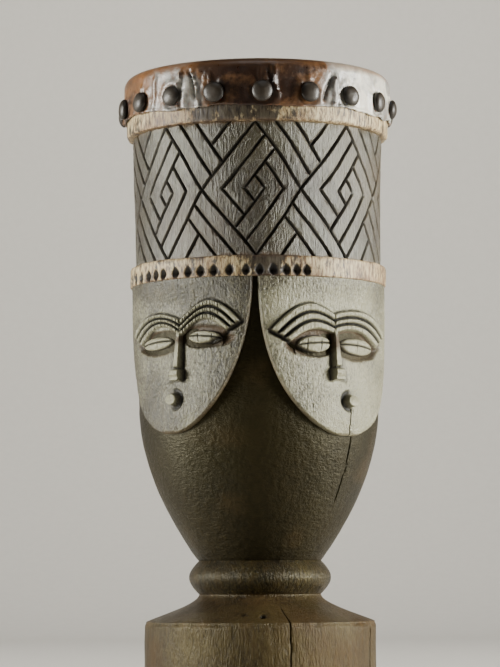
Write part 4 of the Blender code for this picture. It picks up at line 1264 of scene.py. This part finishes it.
def fold_relief(azimuth, up):
    """Height of the skirt's folds in millimetres, and how dark their creases and the feet of the
    raised folds are painted as shade.
    """
    relief = np.zeros(len(up))
    crease = np.zeros(len(up))
    hidden = [a for a in range(-170, 181, 13) if abs(a) > 72]
    more = [(a + 2, a - 1 + 3 * math.sin(a), -14, 14 + 10 * math.sin(2 * a), 2.2, 1.6) for a in hidden]
    more += [(a + 6, a + 5, 2, 22, 1.6, -1.8) for a in hidden[::2]]
    for foot, top, low, high, half, tall in (*FOLDS, *more):
        share = unit((up - low) / (high - low))
        middle = (foot + (top - foot) * share) * DEG + 0.006 * np.sin(up / 4.0 + foot)
        away = np.abs(turned_from(azimuth, middle)) * HIDE_R / MM / half
        ends = smooth((up - low + 5) / 7) * smooth((high + 5 - up) / 9)
        shape = unit(1 - away / 1.7) ** 1.3 * ends
        relief += tall * shape
        if tall < 0:
            crease = np.maximum(crease, shape * min(1.0, -tall / 2.6))
        else:
            # Painted shade at the foot of a raised fold
            foot_of_fold = unit(1 - np.abs(away - 1.5) / 0.7) * ends
            crease = np.maximum(crease, 0.35 * foot_of_fold * min(1.0, tall / 2.2))
    return 1.2 * relief, np.minimum(1.0, 1.35 * crease)


def peg_relief(azimuth, up):
    """The skin's dimples and puckers round the pegs, in millimetres, and the painted shadow
    round the edge of each head.
    """
    relief = np.zeros(len(up))
    ring = np.zeros(len(up))
    for index in range(PEG_COUNT):
        x = turned_from(azimuth, peg_azimuth(index)) * HIDE_R / MM
        reach = np.hypot(x, up)
        turn = np.arctan2(x, up)
        hood = 1.0 if abs(peg_azimuth(index) / DEG - 360 - HOODED_PEG) < 1 else 0.0
        relief -= 1.3 * bell(reach, 9)
        pucker = 0.5 + 0.3 * np.sin(3 * turn + 2.1 * index) + 0.2 * np.sin(7 * turn + index)
        pucker += hood * 1.1 * bell(turn, 1.1)
        relief += 1.35 * pucker * bell(reach - 14, 3.4)
        rays = unit(np.sin(9 * turn + 1.7 * index) - 0.3) * (up > 0)
        relief += 0.9 * rays * bell(reach - 15, 6)
        # Painted shadow: a dark ring where each peg's head meets the skin
        ring = np.maximum(ring, bell(reach - 10.8, 1.5))
    return relief, ring


def hide_tones(azimuth, up, points):
    """Where the hide is bleached (1) or smoked brown (0), round the drum and up it; on the right
    the paleness is partly a painted highlight.
    """
    pale = np.interp(azimuth / DEG, *zip(*HIDE_PALENESS_AND_HIGHLIGHT))
    pale = pale - 0.22 * smooth((up - 16) / 9) * (azimuth < 30 * DEG)
    return unit(pale + 0.16 * lumps(points, 19 * MM, 61))


def make_head(settings):
    """The skin, drawn down over the rim in folds, dimpled by the pegs and ragged along its hem."""
    mesh = as_mesh("rawhide_head", spun(head_section(), HIDE_COLUMNS, closed=False))
    points = read_points(mesh)
    azimuth, radius, z = unpolar(points)
    up = (z - PEG_Z) / MM
    skirt = smooth((HIDE_TOP_Z - 5 * MM - z) / (10 * MM)) * (radius > HIDE_R - HIDE_T - 2 * MM)
    outside = (radius > HIDE_R - 0.8 * HIDE_T) * skirt
    folds, crease = fold_relief(azimuth, up)
    puckers, ring = peg_relief(azimuth, up)
    slack = 0.45 * lumps(points, 24 * MM, 51) + 0.2 * lumps(points, 8 * MM, 52)
    slack += 0.08 * lumps(points, 3 * MM, 53)
    rise = (folds + puckers) * unit(skirt) + slack * skirt
    hem = HIDE_TOP_Z - HIDE_SKIRT
    wave = 0.75 * np.cos(azimuth - HIDE_LOWEST) + 0.25 * np.sin(7 * azimuth)
    low = smooth((hem + 30 * MM - z) / (30 * MM))
    ragged = 1.3 * lumps(points * [1, 1, 0], 15 * MM, 54) + 0.7 * lumps(points * [1, 1, 0], 4.5 * MM, 55)
    lip = 0.7 * smooth((hem + 4 * MM - z) / (4 * MM))
    inner = (radius < HIDE_R - 0.8 * HIDE_T) & (z < HIDE_TOP_Z - HIDE_T - 0.4 * RIM_ROUND)
    follow = np.where(inner, np.clip(rise, 0, 3) * 0.7, rise)
    radius = radius + (follow + lip * skirt) * MM
    z = z - low * (HIDE_RIPPLE * wave + ragged * MM * smooth((hem + 9 * MM - z) / (9 * MM)))
    drum = (z > HIDE_TOP_Z - HIDE_T - 0.1 * MM) & (radius < HIDE_R - RIM_ROUND - HIDE_T)
    from_rim = smooth((HIDE_R - RIM_ROUND - HIDE_T - radius) / (20 * MM))
    sink = unit((0.35 + 0.35 * lumps(points, 60 * MM, 56)) * from_rim)
    z = np.where(drum & (radius > MM), z - sink * MM, z)
    write_points(mesh, polar(radius, azimuth, z))
    # Painted light: the rim mark paints light shining through the hide's edge as orange, stronger
    # towards the sides where the soft boxes stand, with a gold patch on the left.
    lit = 0.4 + 0.4 * smooth(np.abs(azimuth / DEG) / 40 - 0.6)
    rim = lit * smooth((up - 24) / 8) * smooth((radius - 116 * MM) / (14 * MM))
    gold = smooth((-46 - azimuth / DEG) / 10) * smooth((azimuth / DEG + 92) / 12) * smooth((up - 2) / 16)
    rim = np.maximum(rim, gold * (0.6 + 0.5 * lumps(points, 12 * MM, 58)))
    flat = smooth((radius - 20 * MM) / (70 * MM))
    pale = hide_tones(azimuth, up, points)
    on_top = smooth((HIDE_R - 10 * MM - radius) / (10 * MM))
    pale = pale * (1 - on_top) + on_top * (0.3 - 0.12 * (1 - flat))
    mark(mesh, "pale", pale)
    rusty = 0.16 * smooth(0.5 + lumps(points, 17 * MM, 57)) * bell(azimuth / DEG + 4, 26)
    mark(mesh, "rim", unit(rim + rusty * (up < 26)))
    # Painted shade: the fold creases and the rings round the pegs are marked deep and painted dark.
    mark(mesh, "deep", unit((crease + 0.7 * ring) * outside))
    finish = dried_rawhide(
        "goat_rawhide",
        settings.hide_brown,
        linear("#6b4c31"),
        settings.hide_pale,
        settings.hide_orange,
        linear("#817f7b"),
    )
    obj = place_piece("rawhide_head", mesh, [finish], "drum_head", 70)


def make_peg(index, finish):
    """A whittled ball head over a tapered shank, its mesh turned to lie against the hide."""
    profile = [(0.0, PEG_HEAD_H)]
    for i in range(1, 12):
        a = i / 11 * 0.64 * math.pi
        profile.append((PEG_HEAD_R * math.sin(a) ** 0.95, PEG_HEAD_H * (0.36 + 0.64 * math.cos(a))))
    profile += [(PEG_SHANK_R + 1.6 * MM, -0.6 * MM), (PEG_SHANK_R, -0.8 * MM)]
    profile += [(PEG_SHANK_R * 0.5, -PEG_SHANK_L * 0.5), (0.0, -PEG_SHANK_L)]
    name = f"peg_head_{index + 1:02d}"
    mesh = as_mesh(name, spun(profile, PEG_COLUMNS, closed=False))
    points = read_points(mesh)
    head = smooth((points[:, 2] + 1.0 * MM) / (3 * MM))
    flats = lumps(points + index * 0.31, 7.5 * MM, 71) * 0.55
    flats += lumps(points + index * 0.17, 3.2 * MM, 72) * 0.16
    size = np.array([1.0 + 0.05 * math.sin(3.1 * index), 1.0 + 0.05 * math.cos(2.3 * index), 1.0])
    outward = points / np.maximum(np.linalg.norm(points, axis=1), 1e-6)[:, None]
    points = points * size * 0.975 + outward * (flats * head - 0.25)[:, None] * MM
    azimuth = peg_azimuth(index)
    out = Vector((math.sin(azimuth), -math.cos(azimuth), 0.0))
    turn = out.to_track_quat("Z", "Y").to_matrix()
    tilt = Matrix.Rotation(0.06 * math.sin(5.3 * index), 3, "X") @ Matrix.Rotation(0.9 * index, 3, "Z")
    spin = np.array(turn @ tilt)
    place = np.array(out) * (HIDE_R - 0.1 * MM) + np.array([0, 0, PEG_Z])
    mark(mesh, "edge", smooth((points[:, 2] - 4.6 * MM) / (4 * MM)))
    write_points(mesh, points @ spin.T + place)
    place_piece(name, mesh, [finish], f"peg_{index + 1:02d}", 70)


def make_sweep(finish):
    """A floor that curves up into a plain wall behind the drum."""
    bm = bmesh.new()
    bmesh.ops.create_grid(bm, x_segments=1, y_segments=1, size=5.0)
    bmesh.ops.translate(bm, verts=bm.verts[:], vec=(0, -2.4, 0))
    back = [e for e in bm.edges if all(v.co.y > 2.5 for v in e.verts)]
    verts = list({v for e in back for v in e.verts})
    made = bmesh.ops.spin(
        bm,
        geom=verts + back,
        cent=(0, 2.6, 1.4),
        axis=(1, 0, 0),
        angle=math.pi / 2,
        steps=24,
    )["geom_last"]
    top = [g for g in made if isinstance(g, bmesh.types.BMEdge)]
    moved = bmesh.ops.extrude_edge_only(bm, edges=top)["geom"]
    raised = [g for g in moved if isinstance(g, bmesh.types.BMVert)]
    bmesh.ops.translate(bm, verts=raised, vec=(0, 0, 4.0))
    mesh = as_mesh("studio_sweep", bm)
    mesh.materials.append(finish)
    mesh.shade_smooth()
    obj = bpy.data.objects.new("studio_sweep", mesh)
    bpy.context.scene.collection.objects.link(obj)


def add_light(name, place, aim, size, power, warmth=(1.0, 1.0, 1.0)):
    """A soft box that faces its aim."""
    data = bpy.data.lights.new(name, "AREA")
    data.shape = "RECTANGLE"
    data.size, data.size_y = size
    data.energy = power
    data.color = warmth
    obj = bpy.data.objects.new(name, data)
    obj.location = place
    obj.rotation_euler = (Vector(aim) - Vector(place)).to_track_quat("-Z", "Y").to_euler()
    bpy.context.scene.collection.objects.link(obj)


def add_camera(settings):
    """The photograph's long lens, low and looking slightly up, rolled by the picture's lean."""
    data = bpy.data.cameras.new("camera")
    data.lens = settings.lens
    data.clip_start = 0.05
    obj = bpy.data.objects.new("camera", data)
    obj.location = settings.camera_place
    aim = Matrix.Rotation(math.pi / 2 + settings.camera_tilt, 3, "X")
    obj.rotation_euler = (aim @ Matrix.Rotation(settings.camera_roll, 3, "Z")).to_euler()
    bpy.context.scene.collection.objects.link(obj)
    bpy.context.scene.camera = obj


def colour_property(name, description, colour):
    """A colour in the panel, given by its sRGB hex value."""
    return bpy.props.FloatVectorProperty(
        name=name,
        description=description,
        default=linear(colour),
        subtype="COLOR",
        size=3,
        min=0.0,
        max=1.0,
    )


class DrumCarving(bpy.types.PropertyGroup):
    """Sizes of the knife work."""

    groove_width: bpy.props.FloatProperty(
        name="Groove width",
        description="Width of the lattice's grooves between their shoulders",
        default=3.5 * MM,
        min=1 * MM,
        max=6 * MM,
        unit="LENGTH",
        precision=4,
    )
    groove_depth: bpy.props.FloatProperty(
        name="Groove depth",
        description="Depth of the lattice's grooves",
        default=3.0 * MM,
        min=0.5 * MM,
        max=5 * MM,
        unit="LENGTH",
        precision=4,
    )


class DrumFinishes(bpy.types.PropertyGroup):
    """Colours of the wood and the hide."""

    smoke: colour_property("Smoke", "Ground colour of the smoked wood", "#0c0a06")
    heartwood: colour_property("Heartwood", "Streaks of brown in the smoked wood", "#1a160d")
    rubbed: colour_property("Rubbed", "Colour of the wood where hands have rubbed it", "#403e2d")
    worn: colour_property("Worn", "Colour of the masks where they are most rubbed", "#86836a")
    clay: colour_property("Clay", "The pale clay on the two bands", "#c3b48d")
    hide_brown: colour_property("Smoked hide", "Rawhide where it is darkest", "#25150c")
    hide_pale: colour_property("Bleached hide", "Rawhide where it is palest", "#c9c4b6")
    hide_orange: colour_property("Rim hide", "Rawhide where light shows through", "#77502c")
    peg: colour_property("Peg", "Ground colour of the pegs", "#120e09")
    floor: colour_property("Floor", "The studio floor and wall", "#dcd8d0")


class DrumStage(bpy.types.PropertyGroup):
    """Where the camera stands and how strong the lights are."""

    camera_place: bpy.props.FloatVectorProperty(
        name="Camera place",
        description="Where the camera stands",
        default=(-0.0089, -2.89, 0.138),
        size=3,
        subtype="TRANSLATION",
        unit="LENGTH",
    )
    camera_tilt: bpy.props.FloatProperty(
        name="Camera tilt",
        description="How far the camera looks up",
        default=4.92 * DEG,
        subtype="ANGLE",
    )
    camera_roll: bpy.props.FloatProperty(
        name="Camera roll",
        description="How far the camera leans",
        default=-0.35 * DEG,
        subtype="ANGLE",
    )
    lens: bpy.props.FloatProperty(
        name="Lens", description="Focal length", default=148.4, min=20.0, unit="CAMERA"
    )
    power: bpy.props.FloatProperty(
        name="Light", description="Strength of the soft boxes", default=1.0, min=0.0, subtype="FACTOR"
    )


class DRUM_OT_upper_wall(bpy.types.Operator):
    """Carve the band, the lattice and the collar"""

    bl_idname = "drum.upper_wall"
    bl_label = "Upper wall"

    def execute(self, context):
        carving, finishes = context.scene.drum_carving, context.scene.drum_finishes
        bm = unrolled_wall()
        score_wall(bm, carving.groove_width)
        dress_wall(bm, carving)
        mesh = as_mesh("wall_upper", bm)
        weather_wall(mesh)
        paint_bands(mesh)
        zones = ("smoked_hardwood_lattice", "clay_rubbed_hardwood")
        woods = [wood_for(zone, finishes) for zone in zones]
        place_piece("wall_upper", mesh, woods, "drum_body", 40)
        return {"FINISHED"}


class DRUM_OT_bowl(bpy.types.Operator):
    """Shape the bowl and the wall behind the masks"""

    bl_idname = "drum.bowl"
    bl_label = "Bowl"

    def execute(self, context):
        mesh = as_mesh("bowl", spun(bowl_section(), TURNED_COLUMNS))
        weather_bowl(mesh)
        finish = wood_for("smoked_hardwood_bowl", context.scene.drum_finishes)
        place_piece("bowl", mesh, [finish], "drum_body")
        return {"FINISHED"}


class DRUM_OT_foot(bpy.types.Operator):
    """Shape the foot, its shoulder and the waist ring"""

    bl_idname = "drum.foot"
    bl_label = "Foot"

    def execute(self, context):
        mesh = as_mesh("foot", spun(foot_section(), TURNED_COLUMNS))
        weather_foot(mesh)
        finish = wood_for("smoked_hardwood_foot", context.scene.drum_finishes)
        place_piece("foot", mesh, [finish], "drum_body")
        return {"FINISHED"}


class DRUM_OT_masks(bpy.types.Operator):
    """Carve the four masks"""

    bl_idname = "drum.masks"
    bl_label = "Masks"

    def execute(self, context):
        for mask in MASKS:
            make_mask(mask, context.scene.drum_finishes)
        return {"FINISHED"}


class DRUM_OT_head(bpy.types.Operator):
    """Stretch the rawhide head over the rim"""

    bl_idname = "drum.head"
    bl_label = "Head"

    def execute(self, context):
        make_head(context.scene.drum_finishes)
        return {"FINISHED"}


class DRUM_OT_pegs(bpy.types.Operator):
    """Drive the pegs round the head"""

    bl_idname = "drum.pegs"
    bl_label = "Pegs"

    def execute(self, context):
        finishes = context.scene.drum_finishes
        finish = peg_wood("polished_hardwood_peg", finishes.peg, linear("#241c13"), linear("#322a1f"))
        for index in range(PEG_COUNT):
            make_peg(index, finish)
        return {"FINISHED"}


class DRUM_OT_stage(bpy.types.Operator):
    """Set the floor, the lights and the camera"""

    bl_idname = "drum.stage"
    bl_label = "Stage"

    def execute(self, context):
        stage, finishes = context.scene.drum_stage, context.scene.drum_finishes
        add_camera(stage)
        make_sweep(matt_paint("matt_studio_paint", finishes.floor))
        aim = (0.0, 0.0, 0.36)
        warm = (1.0, 0.99, 0.93)
        add_light("softbox_left", (-2.4, -0.28, 0.62), aim, (0.7, 1.1), 118 * stage.power, warm)
        add_light("softbox_right", (2.4, -0.34, 0.62), aim, (0.7, 1.1), 166 * stage.power, warm)
        add_light("softbox_top", (0.0, -0.9, 2.6), aim, (1.2, 0.8), 7 * stage.power)
        add_light("softbox_wall", (0.0, 1.5, 2.4), (0.0, 3.6, 0.6), (1.8, 0.8), 30 * stage.power)
        world = bpy.data.worlds.new("studio_air")
        world.use_nodes = True
        world.node_tree.nodes["Background"].inputs["Color"].default_value = (*linear("#ecebe5"), 1.0)
        world.node_tree.nodes["Background"].inputs["Strength"].default_value = 0.07
        context.scene.world = world
        return {"FINISHED"}


class DRUM_PT_panel(bpy.types.Panel):
    """The drum's pieces and settings."""

    bl_idname = "DRUM_PT_panel"
    bl_label = "Pedestal drum"
    bl_space_type = "VIEW_3D"
    bl_region_type = "UI"
    bl_category = "Drum"

    def draw(self, context):
        for operator in OPERATORS:
            self.layout.operator(operator.bl_idname)
        for group in ("drum_carving", "drum_finishes", "drum_stage"):
            settings = getattr(context.scene, group)
            for name in settings.__annotations__:
                self.layout.prop(settings, name)


OPERATORS = (
    DRUM_OT_stage,
    DRUM_OT_foot,
    DRUM_OT_bowl,
    DRUM_OT_masks,
    DRUM_OT_upper_wall,
    DRUM_OT_head,
    DRUM_OT_pegs,
)
CLASSES = (DrumCarving, DrumFinishes, DrumStage, *OPERATORS, DRUM_PT_panel)


def register():
    for made in CLASSES:
        bpy.utils.register_class(made)
    bpy.types.Scene.drum_carving = bpy.props.PointerProperty(type=DrumCarving)
    bpy.types.Scene.drum_finishes = bpy.props.PointerProperty(type=DrumFinishes)
    bpy.types.Scene.drum_stage = bpy.props.PointerProperty(type=DrumStage)


def unregister():
    del bpy.types.Scene.drum_stage
    del bpy.types.Scene.drum_finishes
    del bpy.types.Scene.drum_carving
    for made in reversed(CLASSES):
        bpy.utils.unregister_class(made)


def main():
    register()
    bpy.ops.drum.stage()
    bpy.ops.drum.foot()
    bpy.ops.drum.bowl()
    bpy.ops.drum.masks()
    bpy.ops.drum.upper_wall()
    bpy.ops.drum.head()
    bpy.ops.drum.pegs()


if __name__ == "__main__":
    main()
